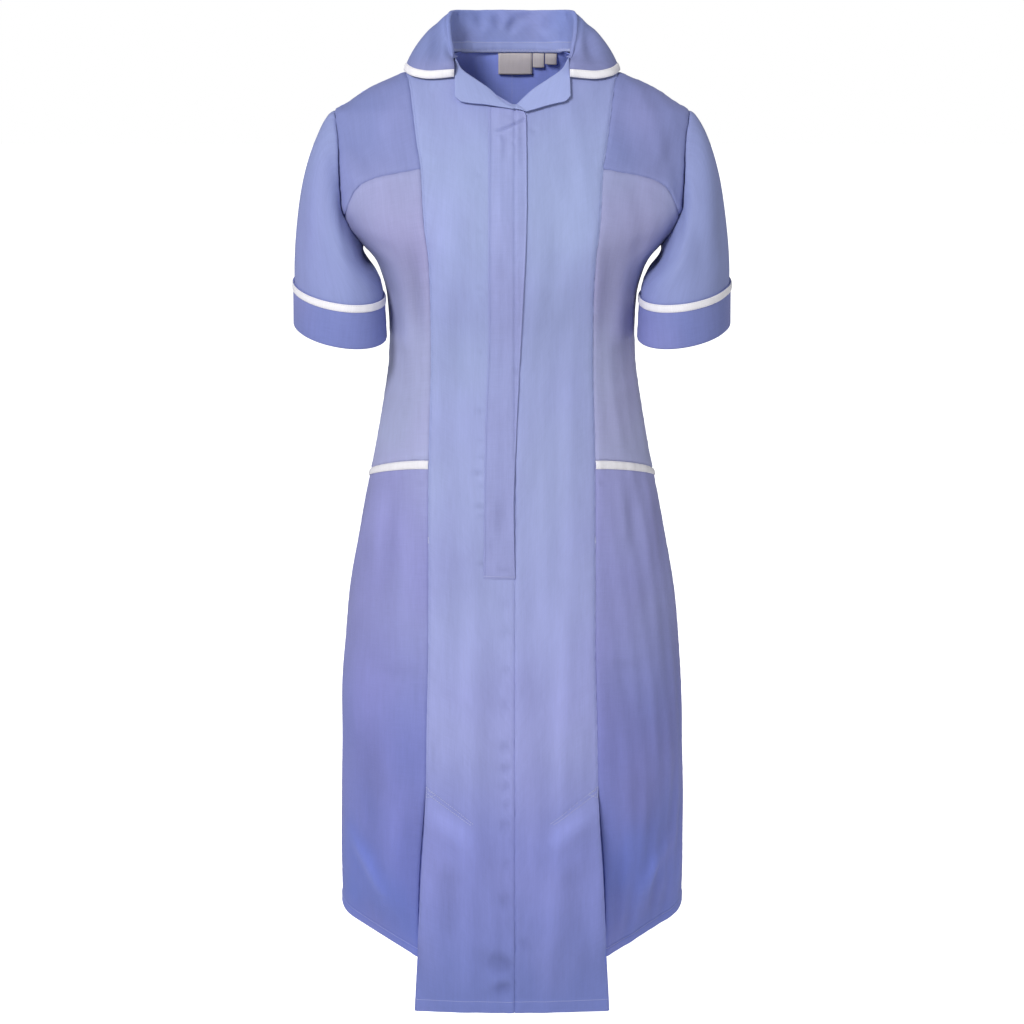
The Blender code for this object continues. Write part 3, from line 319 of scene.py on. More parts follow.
def crease_relief(points, creases):
    """Each crease is a soft trough or ridge with a slight counter-swell beside it."""
    relief = np.zeros(points.shape[:2])
    place = points[..., (0, 2)]
    for crease in creases:
        start = np.array((crease.x_from, crease.z_from))
        end = np.array((crease.x_to, crease.z_to))
        run = end - start
        bend = (start + end) / 2 + np.array((-run[1], run[0])) / np.linalg.norm(run) * crease.bow * 2
        shares = np.linspace(0, 1, 11)[:, None]
        path = start * (1 - shares) ** 2 + bend * 2 * shares * (1 - shares) + end * shares ** 2
        nearest = np.full(place.shape[:2], np.inf)
        length = np.zeros(place.shape[:2])
        for number, (first, second) in enumerate(zip(path[:-1], path[1:])):
            step = second - first
            share = np.clip(((place - first) @ step) / (step @ step), 0, 1)
            distance = np.linalg.norm(place - first - share[..., None] * step, axis=-1)
            closer = distance < nearest
            length = np.where(closer, (number + share) / (len(path) - 1), length)
            nearest = np.minimum(nearest, distance)
        reach = nearest / crease.width
        profile = (np.exp(-reach ** 2) - SWELL * np.exp(-(reach / SWELL_WIDTH) ** 2)) / (1 - SWELL)
        relief += crease.height * profile * np.sin(math.pi * np.clip(length, 0.03, 0.97)) ** 0.6
    return relief


def soft_waves(points, seed, height, lengths, upright=4.0):
    """Slow waves in the cloth; upright says how much longer they are down than across."""
    random = np.random.default_rng(seed)
    waves = np.zeros(points.shape[:2])
    for length in lengths:
        lean, phase = random.uniform(-0.6, 0.6), random.uniform(0, 2 * math.pi)
        across = points[..., 0] + points[..., 1] * 0.8
        waves += np.sin(2 * math.pi * (across + points[..., 2] * lean / upright) / length + phase)
        waves += 0.6 * np.sin(2 * math.pi * (points[..., 2] + across * lean) / (length * upright) + phase * 2)
    return height * waves / len(lengths)


WAVE_LENGTHS = (0.029, 0.047, 0.078, 0.126)
BAND_RISE, BAND_GROOVE, BAND_EDGE = 0.0009, 0.0006, 0.0014


def pressed(sheet, sewn, seed, creases=(), wave=0.0010, wave_low=0.0020, band=None):
    """A sheet with its seams, creases and waves; the waves grow down the garment.

    A band gives a hem or facing its second layer: the edge it follows and its depth."""
    relief = seam_relief(sheet, sewn, seed) + crease_relief(sheet.points, creases)
    low = eased(-sheet.points[..., 2])
    waves = soft_waves(sheet.points, seed, 1.0, WAVE_LENGTHS)
    free = np.ones(relief.shape)
    for side, away in edge_distances(sheet).items():
        free *= 0.3 + 0.7 * eased(away / (0.03 if side in sewn else 0.06))
    relief += waves * free * (wave + (wave_low - wave) * low)
    if band:
        away = edge_distances(sheet)[band[0]]
        relief += BAND_RISE * eased((band[1] - away) / BAND_EDGE)
        relief -= BAND_GROOVE * np.exp(-((away - band[1]) / BAND_EDGE) ** 2)
    points = sheet.points + sheet.normals * relief[..., None]
    return Sheet(points, sheet.normals, sheet.cut, relief)


# Painted light from the relief: cloth that stands up by this height is painted one step lighter,
# a painted highlight; hollows and seams are painted darker as painted shade, within these
# limits; and the wrong side is painted lighter all over, as painted light
PAINTED_LIGHT_HEIGHT, PAINTED_SHADE_LIMIT, PAINTED_HIGHLIGHT_LIMIT, WRONG_SIDE_PAINTED_LIGHT = 0.0018, -2.0, 1.8, 1.2


def cloth(name, sheet, outer, inner, material):
    """A thin shell between two distances out from a sheet, with its rims closed.

    Its own map "Cut" holds each point's place on the flat cloth, in metres, and an attribute
    holds its painted light: painted highlight where the cloth stands up, painted shade in its
    hollows and seams, and painted light over its wrong side."""
    rows, columns = sheet.points.shape[:2]
    layer = rows * columns
    faces_of = [sheet.points + sheet.normals * np.broadcast_to(reach, (rows, columns))[..., None]
                for reach in (outer, inner)]
    index = np.arange(layer).reshape(rows, columns)
    top = np.stack((index[:-1, :-1], index[1:, :-1], index[1:, 1:], index[:-1, 1:]), axis=-1).reshape(-1, 4)
    quads = [top, top[:, ::-1] + layer]
    for line in (index[0], index[-1, ::-1], index[::-1, 0], index[:, -1]):
        quads.append(np.stack((line[:-1], line[1:], line[1:] + layer, line[:-1] + layer), axis=-1))
    quads = np.concatenate(quads)
    vertices = np.concatenate([side.reshape(-1, 3) for side in faces_of])
    first, second, _, last = vertices[top[len(top) // 2]]
    if np.cross(second - first, last - first) @ sheet.normals[rows // 2, columns // 2] < 0:
        quads = quads[:, ::-1]
    mesh = bpy.data.meshes.new(name)
    mesh.from_pydata(vertices.tolist(), [], quads.tolist())
    corners = np.empty(len(mesh.loops), dtype=int)
    mesh.loops.foreach_get("vertex_index", corners)
    layout = mesh.uv_layers.new(name="Cut")
    layout.data.foreach_set("uv", sheet.cut.reshape(-1, 2)[corners % layer].ravel())
    # Painted highlight where the cloth stands up, painted shade in its hollows and seams
    painted_light = np.broadcast_to(np.clip(sheet.lift / PAINTED_LIGHT_HEIGHT, PAINTED_SHADE_LIMIT, PAINTED_HIGHLIGHT_LIMIT), (rows, columns)).ravel()
    tone = mesh.attributes.new("Tone", "FLOAT", "POINT")
    # The wrong side is painted lighter all over: painted light, as though light bounced in off the blue cloth
    tone.data.foreach_set("value", np.concatenate((painted_light, np.full(layer, WRONG_SIDE_PAINTED_LIGHT))))
    mesh.shade_smooth()
    mesh.materials.append(material)
    piece = bpy.data.objects.new(name, mesh)
    bpy.context.scene.collection.objects.link(piece)
    return piece


def worn(piece, nodes):
    """Fixes a piece to the body, and hides the model's parts that it stands in for."""
    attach(piece, "root")
    if nodes:
        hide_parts(*nodes)
    return piece


# Twill: fine slanting ridges of thread, slubs that run with both threads, and a soft bloom;
# and how strongly the relief's painted highlight and painted shade show in the colour
TWILL_RIDGES_PER_METRE = 1500
PAINTED_LIGHT_STRENGTH = 0.09


def link(tree, source, target):
    tree.links.new(source, target)


def maths(tree, operation, first, second=None):
    node = tree.nodes.new("ShaderNodeMath")
    node.operation = operation
    for socket, value in zip(node.inputs, (first, second)):
        if value is None:
            continue
        if isinstance(value, (int, float)):
            socket.default_value = value
        else:
            link(tree, value, socket)
    return node.outputs[0]


def noise(tree, vector, scale, detail=2.0, stretch=(1.0, 1.0, 1.0)):
    mapping = tree.nodes.new("ShaderNodeMapping")
    mapping.inputs["Scale"].default_value = stretch
    link(tree, vector, mapping.inputs["Vector"])
    node = tree.nodes.new("ShaderNodeTexNoise")
    node.inputs["Scale"].default_value = scale
    node.inputs["Detail"].default_value = detail
    link(tree, mapping.outputs["Vector"], node.inputs["Vector"])
    return node.outputs["Fac"]


def weave_group():
    """Reads a place on the cut; gives the thread's height and how light the cloth is there."""
    tree = bpy.data.node_groups.new("Weave", "ShaderNodeTree")
    tree.interface.new_socket("Cut", in_out="INPUT", socket_type="NodeSocketVector")
    ridges = tree.interface.new_socket("Ridges per metre", in_out="INPUT", socket_type="NodeSocketFloat")
    ridges.default_value = TWILL_RIDGES_PER_METRE
    slant = tree.interface.new_socket("Slant", in_out="INPUT", socket_type="NodeSocketFloat")
    slant.default_value = 0.6
    tree.interface.new_socket("Height", in_out="OUTPUT", socket_type="NodeSocketFloat")
    tree.interface.new_socket("Lightness", in_out="OUTPUT", socket_type="NodeSocketFloat")
    given = tree.nodes.new("NodeGroupInput")
    result = tree.nodes.new("NodeGroupOutput")
    place = tree.nodes.new("ShaderNodeSeparateXYZ")
    link(tree, given.outputs["Cut"], place.inputs[0])
    across = maths(tree, "MULTIPLY", place.outputs["X"], given.outputs["Ridges per metre"])
    down = maths(tree, "MULTIPLY", place.outputs["Y"], given.outputs["Ridges per metre"])
    slanted = maths(tree, "ADD", across, maths(tree, "MULTIPLY", down, given.outputs["Slant"]))
    ridge = maths(tree, "SINE", maths(tree, "MULTIPLY", slanted, 2 * math.pi))
    thread = maths(tree, "SINE", maths(tree, "MULTIPLY", down, 4 * math.pi))
    link(tree, maths(tree, "ADD", ridge, maths(tree, "MULTIPLY", thread, 0.4)), result.inputs["Height"])
    total = None
    for scale, stretch, strength in SLUBS:
        slub = maths(tree, "MULTIPLY", noise(tree, given.outputs["Cut"], scale, 3.0, stretch), strength)
        total = maths(tree, "ADD", total, slub) if total else slub
    middle = 1.0 - sum(strength for _, _, strength in SLUBS) / 2
    link(tree, maths(tree, "ADD", total, middle), result.inputs["Lightness"])
    return tree


# Slubs: how fine, how drawn out across and down, and how strongly they show
SLUBS = (
    (60.0, (14.0, 0.8, 1.0), 0.14), (60.0, (0.8, 14.0, 1.0), 0.12), (22.0, (9.0, 0.7, 1.0), 0.11),
    (13.0, (1.6, 1.0, 1.0), 0.15),
)
weave = weave_group()

# A colour at a height down the garment. Tables of these hold the cloth's own colour with painted light and shade by
# height, above all painted shade darkening towards the hem
Shade = namedtuple("Shade", "z red green blue")


def srgb(red, green, blue):
    """A colour as a painter's 0 to 255 values, made linear."""
    shares = [value / 255 for value in (red, green, blue)]
    return tuple(s / 12.92 if s <= 0.04045 else ((s + 0.055) / 1.055) ** 2.4 for s in shares)


def cloth_material(name, shades, patch=None, patch_share=0.0, ridges=TWILL_RIDGES_PER_METRE,
                   sheen=0.12, roughness=0.62, relief=0.00005):
    """Woven cloth whose colour shifts down the garment from shade to shade: its own colour, with painted shade that
    darkens the lower panels towards the hem.

    A patch is a second tint that comes through in slow clouds."""
    material = bpy.data.materials.new(name)
    material.use_nodes = True
    tree = material.node_tree
    shader = tree.nodes["Principled BSDF"]
    shader.inputs["Roughness"].default_value = roughness
    shader.inputs["Specular IOR Level"].default_value = 0.28
    shader.inputs["Sheen Weight"].default_value = sheen
    shader.inputs["Sheen Roughness"].default_value = 0.45
    shader.inputs["Sheen Tint"].default_value = (*srgb(214, 220, 255), 1.0)
    object_place = tree.nodes.new("ShaderNodeTexCoord").outputs["Object"]
    height = tree.nodes.new("ShaderNodeSeparateXYZ")
    link(tree, object_place, height.inputs[0])
    reach = tree.nodes.new("ShaderNodeMapRange")
    lowest, highest = shades[-1].z, shades[0].z
    reach.inputs["From Min"].default_value = highest
    reach.inputs["From Max"].default_value = lowest
    link(tree, height.outputs["Z"], reach.inputs["Value"])
    # Colour by height: the cloth's own colour with painted shade, darker towards the hem
    ramp = tree.nodes.new("ShaderNodeValToRGB")
    ramp.color_ramp.interpolation = "EASE"
    while len(ramp.color_ramp.elements) < len(shades):
        ramp.color_ramp.elements.new(0.5)
    for element, shade in zip(ramp.color_ramp.elements, shades):
        element.position = (highest - shade.z) / max(highest - lowest, 1e-6)
        element.color = (*srgb(shade.red, shade.green, shade.blue), 1.0)
    link(tree, reach.outputs["Result"], ramp.inputs["Fac"])
    colour = ramp.outputs["Color"]
    if patch:
        clouds = noise(tree, object_place, 9.0, 1.5, (1.0, 1.0, 0.7))
        spread = maths(tree, "MULTIPLY", maths(tree, "SUBTRACT", clouds, 0.42), 4.0)
        share = maths(tree, "MULTIPLY", maths(tree, "MINIMUM", maths(tree, "MAXIMUM", spread, 0.0), 1.0), patch_share)
        tint = tree.nodes.new("ShaderNodeMix")
        tint.data_type = "RGBA"
        link(tree, share, tint.inputs["Factor"])
        link(tree, colour, tint.inputs["A"])
        tint.inputs["B"].default_value = (*srgb(*patch), 1.0)
        colour = tint.outputs["Result"]
    cut = tree.nodes.new("ShaderNodeUVMap")
    cut.uv_map = "Cut"
    woven = tree.nodes.new("ShaderNodeGroup")
    woven.node_tree = weave
    woven.inputs["Ridges per metre"].default_value = ridges
    link(tree, cut.outputs["UV"], woven.inputs["Cut"])
    lit = tree.nodes.new("ShaderNodeMix")
    lit.data_type = "RGBA"
    lit.blend_type = "MULTIPLY"
    lit.inputs["Factor"].default_value = 1.0
    link(tree, colour, lit.inputs["A"])
    # Painted light: the relief lightens ridges as painted highlight and darkens hollows and seams as painted shade
    tone = tree.nodes.new("ShaderNodeAttribute")
    tone.attribute_name = "Tone"
    painted_light = maths(tree, "MULTIPLY", tone.outputs["Fac"], PAINTED_LIGHT_STRENGTH)
    link(tree, maths(tree, "ADD", woven.outputs["Lightness"], painted_light), lit.inputs["B"])
    link(tree, lit.outputs["Result"], shader.inputs["Base Color"])
    bump = tree.nodes.new("ShaderNodeBump")
    bump.inputs["Strength"].default_value = 0.35
    bump.inputs["Distance"].default_value = relief
    link(tree, woven.outputs["Height"], bump.inputs["Height"])
    link(tree, bump.outputs["Normal"], shader.inputs["Normal"])
    return material


# Darker towards the hem as painted shade, over the cloth's own colour
MIDDLE_SHADES = (
    Shade(0.000, 143, 153, 201), Shade(-0.160, 153, 165, 209), Shade(-0.450, 156, 165, 211),
    Shade(-0.700, 157, 163, 217), Shade(-0.860, 132, 139, 205), Shade(-1.045, 114, 126, 191),
)
middle_twill = cloth_material("twill_front_middle", MIDDLE_SHADES, (150, 152, 214), 0.35)

PLEAT_CREASES = (
    Crease(0.0840, -0.7000, 0.0850, -0.7740, 0.001, 0.0060, -0.0016),
    Crease(0.0935, -0.7785, 0.0425, -0.8150, 0.000, 0.0024, -0.0014),
    Crease(0.0890, -0.8060, 0.0420, -0.8440, -0.002, 0.0125, 0.0042),
    Crease(0.0840, -0.8740, 0.0520, -0.8880, 0.001, 0.0130, -0.0012),
    Crease(0.1050, -0.9620, 0.1040, -1.0120, 0.001, 0.0070, -0.0020),
)
MIDDLE_CREASES_LEFT = PLEAT_CREASES + (
    Crease(0.0182, -0.0730, 0.0250, -0.0772, 0.0005, 0.0026, -0.0016),
    Crease(0.0600, -0.1000, 0.0700, -0.2300, 0.004, 0.0140, 0.0012),
    Crease(0.0450, -0.2500, 0.0400, -0.3700, 0.003, 0.0130, -0.0010),
    Crease(0.0450, -0.5600, 0.0600, -0.7000, 0.004, 0.0130, 0.0015),
    Crease(0.0666, -0.8550, 0.0690, -0.9700, 0.003, 0.0100, -0.0024),
    Crease(0.0880, -0.8800, 0.0900, -0.9700, 0.002, 0.0080, 0.0014),
    Crease(0.0380, -0.8700, 0.0400, -0.9900, 0.003, 0.0110, 0.0015),
    Crease(0.0220, -0.6400, 0.0300, -0.7600, 0.003, 0.0110, -0.0012),
    Crease(0.0110, -0.9500, 0.0180, -0.9680, 0.001, 0.0060, -0.0016),
)
MIDDLE_CREASES_RIGHT = tuple(
    row._replace(x_from=-row.x_from, x_to=-row.x_to, bow=-row.bow) for row in PLEAT_CREASES) + (
    Crease(-0.0500, -0.1000, -0.0640, -0.2100, -0.004, 0.0150, 0.0013),
    Crease(-0.0560, -0.2300, -0.0600, -0.3600, -0.004, 0.0130, -0.0010),
    Crease(-0.0400, -0.5400, -0.0560, -0.6900, 0.004, 0.0130, 0.0015),
    Crease(-0.0745, -0.8700, -0.0760, -0.9650, 0.003, 0.0105, -0.0024),
    Crease(-0.0920, -0.8700, -0.0940, -0.9600, -0.002, 0.0080, 0.0015),
    Crease(-0.0286, -0.8800, -0.0300, -0.9900, 0.002, 0.0100, 0.0018),
    Crease(-0.0200, -0.6000, -0.0240, -0.7200, 0.002, 0.0090, -0.0012),
    Crease(-0.0270, -0.9740, 0.0010, -0.9930, 0.001, 0.0125, -0.0044),
    Crease(-0.0200, -1.0190, 0.0010, -1.0130, 0.001, 0.0090, -0.0040),
)
Dimple = namedtuple("Dimple", "z reach width height")
PLACKET_DIMPLES = (
    Dimple(-0.1180, 0.0060, 0.0030, -0.0009), Dimple(-0.1730, 0.0050, 0.0026, -0.0008),
    Dimple(-0.2310, 0.0070, 0.0034, -0.0010), Dimple(-0.2980, 0.0050, 0.0028, -0.0009),
    Dimple(-0.3608, 0.0070, 0.0030, -0.0015), Dimple(-0.3918, 0.0060, 0.0028, -0.0012),
    Dimple(-0.4084, 0.0060, 0.0026, -0.0013), Dimple(-0.4259, 0.0100, 0.0034, -0.0020),
    Dimple(-0.4394, 0.0060, 0.0028, -0.0010), Dimple(-0.4610, 0.0085, 0.0032, -0.0018),
    Dimple(-0.4714, 0.0060, 0.0026, -0.0013), Dimple(-0.5230, 0.0070, 0.0032, -0.0012),
)
SEAM_DIMPLES = (
    Dimple(-0.5660, 0.0070, 0.0060, -0.0010), Dimple(-0.5980, 0.0100, 0.0080, -0.0013),
    Dimple(-0.6400, 0.0080, 0.0055, -0.0012), Dimple(-0.6790, 0.0120, 0.0090, -0.0015),
    Dimple(-0.7270, 0.0130, 0.0080, -0.0020), Dimple(-0.7510, 0.0110, 0.0075, -0.0022),
    Dimple(-0.7720, 0.0100, 0.0070, -0.0018), Dimple(-0.7930, 0.0090, 0.0060, -0.0014),
    Dimple(-0.8170, 0.0120, 0.0085, -0.0018), Dimple(-0.8620, 0.0090, 0.0080, -0.0012),
    Dimple(-0.9050, 0.0130, 0.0100, -0.0018),
)
PLACKET_DIMPLES_X, SEAM_DIMPLES_X = -0.0300, -0.0010
for edge_x, dimples in ((PLACKET_DIMPLES_X, PLACKET_DIMPLES), (SEAM_DIMPLES_X, SEAM_DIMPLES)):
    MIDDLE_CREASES_RIGHT += tuple(
        Crease(edge_x - row.reach, row.z - 0.0006, edge_x, row.z, 0.0002, row.width, row.height) for row in dimples)
FRONT_HEM = 0.0160
left_shape, right_shape = middle_panel()
middle_left = pressed(left_shape, ("left", "right"), 11, MIDDLE_CREASES_LEFT, band=("bottom", FRONT_HEM))
middle_right = pressed(right_shape, ("left", "right"), 12, MIDDLE_CREASES_RIGHT, band=("bottom", FRONT_HEM))
for name, sheet in (("front_centre_left", middle_left), ("front_centre_right", middle_right)):
    worn(cloth(f"{name}_cloth", sheet, 0.0, -CLOTH, middle_twill), [name])


# Front yoke pieces
# A small panel from the shoulder seam to the bust seam, beside the armhole, cut a little
# on the bias. It is sewn in on all four sides.
ARMHOLE_FRONT_SWING, ARMHOLE_BACK_SWING, ARMHOLE_ROUNDNESS = 26.5, 24.0, 0.75
BUST_LINE = (
    SeamPoint(-0.1126, 0.0940), SeamPoint(-0.1155, 0.1100), SeamPoint(-0.1207, 0.1357),
    SeamPoint(-0.1270, 0.1529), SeamPoint(-0.1359, 0.1639), SeamPoint(-0.1625, 0.1767),
)
ARM_MIDDLE = (SHOULDER_TIP + UNDERARM) / 2
ARM_REACH = (SHOULDER_TIP - UNDERARM) / 2
BUST_MEETING = math.acos((ARMPIT_FRONT - ARM_MIDDLE) / ARM_REACH)
bust_z = smooth_table([point.x for point in BUST_LINE], [point.z for point in BUST_LINE])


def pairs(angle, z):
    return np.stack(np.broadcast_arrays(angle, z), axis=-1)


def armhole(around):
    """The armhole seam as (angle, z): around 0 is the shoulder tip, 90 the front, 180 the underarm."""
    sine = np.sin(around)
    swing = np.radians(np.where(sine > 0, -ARMHOLE_FRONT_SWING, ARMHOLE_BACK_SWING))
    return pairs(RIGHT_ANGLE + swing * np.abs(sine) ** ARMHOLE_ROUNDNESS, ARM_MIDDLE + ARM_REACH * np.cos(around))


def princess_edge(z):
    return pairs(princess_angle(z), z)


def side_edge(z):
    return pairs(RIGHT_ANGLE, z)


def bust_edge(share):
    x = BUST_LINE[0].x + (BUST_LINE[-1].x - BUST_LINE[0].x) * share
    edge = pairs(front_angle(x, bust_z(x)), bust_z(x))
    return edge + (armhole(BUST_MEETING) - edge[-1]) * (share ** 4)[:, None]


def between(share, *values):
    """Reads evenly spaced stations at a share of the way along them."""
    return np.interp(share, np.linspace(0, 1, len(values)), values)


def panel(form, left, right, top, bottom, cell=CELL):
    """The sheet on a form between four edges, each a function from a share to (angle, z)."""
    def placed(edge):
        return lambda share: form(*edge(share).T)

    rows = (shares_along(placed(left), cell) + shares_along(placed(left), cell)) / 2
    columns = shares_along(placed(bottom), cell)
    down, across = rows[:, None, None], columns[None, :, None]
    corners = [edge(np.array((0.0, 1.0))) for edge in (top, bottom)]
    flat = left(rows)[:, None] * (1 - across) + right(rows)[:, None] * across
    flat += top(columns)[None] * (1 - down) + bottom(columns)[None] * down
    flat -= (corners[0][0] * (1 - across) + corners[0][1] * across) * (1 - down)
    flat -= (corners[1][0] * (1 - across) + corners[1][1] * across) * down
    angle, z = flat[..., 0], flat[..., 1]
    return drawn_in(sheet_of(form(angle, z), outward(form, angle, z)))


def shoulder_edge(share):
    return side_edge(between(share, SHOULDER_PRINCESS, SHOULDER_TIP))


yoke_shape = panel(body_form, lambda share: princess_edge(between(share, SHOULDER_PRINCESS, BUST_SEAM)),
                   lambda share: armhole(share * BUST_MEETING), shoulder_edge, bust_edge)
YOKE_SHADES = (Shade(0.000, 121, 131, 184), Shade(-0.080, 125, 134, 187), Shade(-0.170, 134, 141, 190))
yoke_twill = cloth_material("twill_yoke", YOKE_SHADES, (150, 150, 202), 0.4)
YOKE_CREASES_LEFT = (
    Crease(0.168, -0.080, 0.150, -0.120, 0.003, 0.0080, -0.0012),
    Crease(0.120, -0.040, 0.135, -0.090, 0.003, 0.0120, 0.0009),
    Crease(0.172, -0.125, 0.156, -0.128, 0.002, 0.0060, 0.0009),
)
YOKE_CREASES_RIGHT = (
    Crease(-0.170, -0.085, -0.150, -0.118, -0.003, 0.0080, -0.0012),
    Crease(-0.118, -0.045, -0.132, -0.085, -0.003, 0.0120, 0.0009),
    Crease(-0.174, -0.122, -0.158, -0.127, 0.002, 0.0060, 0.0009),
)
ALL_ROUND = ("left", "right", "top", "bottom")


def pair_of(name, shape, sewn, seed, creases_left, creases_right, material, **pressing):
    """The wearer's left piece at +X and its mirror image on the right, each with its own creases."""
    sheets = []
    sides = (("left", shape, creases_left), ("right", mirrored(shape), creases_right))
    for number, (side, form, creases) in enumerate(sides):
        sheet = pressed(form, sewn, seed + number, creases, **pressing)
        piece = cloth(f"{name}_{side}_cloth", sheet, 0.0, -CLOTH, material)
        worn(piece, [f"{name}_{side}"])
        sheets.append(sheet)
    return sheets


yokes = pair_of("front_yoke", yoke_shape, ALL_ROUND, 21, YOKE_CREASES_LEFT, YOKE_CREASES_RIGHT, yoke_twill)


# Bodice sides
# The shaped side of the bodice, from the bust seam and underarm down to the pocket, taken
# in at the waist. Its side seam is turned towards the back.
ARM_STATIONS = (BUST_MEETING, math.pi)
TOP_STEPS, BUST_STEPS = 9, 5


def side_top(share):
    """The bust seam, and then the lower armhole."""
    bust_share = np.clip(share * TOP_STEPS / BUST_STEPS, 0, 1)
    arm_share = np.clip((share * TOP_STEPS - BUST_STEPS) / (TOP_STEPS - BUST_STEPS), 0, 1)
    on_arm = (share * TOP_STEPS > BUST_STEPS)[:, None]
    arm = armhole(BUST_MEETING + (math.pi - BUST_MEETING) * arm_share)
    x = BUST_LINE[0].x + (BUST_LINE[-1].x - BUST_LINE[0].x) * bust_share
    bust = pairs(front_angle(x, bust_z(x)), bust_z(x))
    bust += (armhole(BUST_MEETING) - bust[-1]) * (bust_share ** 4)[:, None]
    return np.where(on_arm, arm, bust)


def pocket_edge(share):
    start = princess_angle(POCKET_INNER)
    return pairs(start + (RIGHT_ANGLE - start) * share,
                 POCKET_INNER + (POCKET_OUTER - POCKET_INNER) * share ** POCKET_DROP_EASE)


side_shape = panel(body_form, lambda share: princess_edge(between(share, BUST_SEAM, POCKET_INNER)),
                   lambda share: side_edge(between(share, UNDERARM, POCKET_OUTER)), side_top, pocket_edge)
SIDE_SHADES = (
    Shade(-0.110, 151, 156, 198), Shade(-0.200, 150, 153, 192), Shade(-0.300, 158, 162, 201),
    Shade(-0.450, 168, 174, 214),
)
side_twill = cloth_material("twill_side", SIDE_SHADES, (158, 152, 202), 0.5)
SIDE_CREASES_LEFT = (
    Crease(0.101, -0.185, 0.100, -0.285, 0.002, 0.0100, -0.0022),
    Crease(0.112, -0.210, 0.110, -0.300, -0.002, 0.0080, 0.0013),
    Crease(0.160, -0.190, 0.120, -0.215, -0.005, 0.0070, 0.0013),
    Crease(0.132, -0.290, 0.106, -0.305, 0.002, 0.0090, -0.0010),
    Crease(0.134, -0.335, 0.110, -0.342, 0.003, 0.0100, 0.0008),
)
SIDE_CREASES_RIGHT = (
    Crease(-0.103, -0.180, -0.101, -0.280, -0.002, 0.0100, -0.0024),
    Crease(-0.113, -0.215, -0.110, -0.310, 0.002, 0.0080, 0.0014),
    Crease(-0.162, -0.192, -0.122, -0.212, 0.005, 0.0070, 0.0013),
    Crease(-0.132, -0.295, -0.108, -0.309, -0.002, 0.0090, -0.0010),
    Crease(-0.134, -0.340, -0.112, -0.345, -0.003, 0.0100, 0.0008),
)
sides = pair_of("front_side", side_shape, ALL_ROUND, 31, SIDE_CREASES_LEFT, SIDE_CREASES_RIGHT, side_twill)


# Skirt sides
# From the pocket's mouth to the hem. Above the kick pleat it is sewn to the middle panel,
# below it swings back and hangs flat to a soft fold at the side.
OPEN_EDGE = np.array((0.1105, -0.0885))
OPEN_CORNER = np.array((-0.0205, -0.0480))
OPEN_CONTROL = np.array((-0.0005, -0.0285))
OPEN_CORNER_SHARE = 0.68
ROWS_SKIRT_UPPER, ROWS_SKIRT_LOWER = 6, 5
SIDE_HEM = 0.015


def skirt_form(angle, z):
    start = princess_angle(z)
    share = ((angle - start) / (RIGHT_ANGLE - start))[..., None]
    seam = np.stack(np.broadcast_arrays(half_width(z), side_y(z)), axis=-1)
    corner = seam + OPEN_CORNER
    flat = OPEN_EDGE + (corner - OPEN_EDGE) * share / OPEN_CORNER_SHARE
    turn = np.clip((share - OPEN_CORNER_SHARE) / (1 - OPEN_CORNER_SHARE), 0, None)
    curve = corner * (1 - turn) ** 2 + (seam + OPEN_CONTROL) * 2 * turn * (1 - turn) + seam * turn ** 2
    flat = np.where(share < OPEN_CORNER_SHARE, flat, curve)
    points = body_form(angle, z)
    points[..., :2] += (flat - points[..., :2]) * pleat_share(points[..., 2])[..., None]
    return points


def skirt_heights(share, first, last):
    """Heights down the skirt, spaced as the pleat divides it."""
    middle = ROWS_SKIRT_UPPER / (ROWS_SKIRT_UPPER + ROWS_SKIRT_LOWER)
    return np.interp(share, (0, middle, 1), (first, PLEAT_TOP, last))


def skirt_bottom(share):
    first, last = princess_edge(np.array(HEM_PLEAT)), side_edge(np.array(HEM_SIDE))
    return first + (last - first) * share[:, None]


skirt_shape = panel(skirt_form, lambda share: princess_edge(skirt_heights(share, POCKET_INNER, HEM_PLEAT)),
                    lambda share: side_edge(skirt_heights(share, POCKET_OUTER, HEM_SIDE)),
                    pocket_edge, skirt_bottom)
# Darker towards the hem as painted shade, over the cloth's own colour
SKIRT_SHADES = (
    Shade(-0.415, 153, 156, 206), Shade(-0.560, 144, 148, 202), Shade(-0.760, 123, 130, 198),
    Shade(-0.900, 111, 125, 205), Shade(-1.020, 106, 123, 204),
)
skirt_twill = cloth_material("twill_skirt_side", SKIRT_SHADES, (136, 134, 198), 0.4)
SKIRT_CREASES_LEFT = (
    Crease(0.093, -0.436, 0.102, -0.442, -0.001, 0.0035, -0.0011),
    Crease(0.126, -0.452, 0.130, -0.520, 0.002, 0.0080, -0.0020),
    Crease(0.140, -0.460, 0.146, -0.560, 0.003, 0.0090, 0.0017),
    Crease(0.110, -0.500, 0.114, -0.640, 0.003, 0.0120, 0.0014),
    Crease(0.100, -0.640, 0.150, -0.650, 0.002, 0.0090, -0.0008),
    Crease(0.150, -0.700, 0.156, -0.880, 0.004, 0.0150, -0.0018),
    Crease(0.125, -0.780, 0.132, -0.960, 0.004, 0.0140, 0.0018),
    Crease(0.186, -0.884, 0.150, -0.952, -0.004, 0.0120, 0.0032),
)
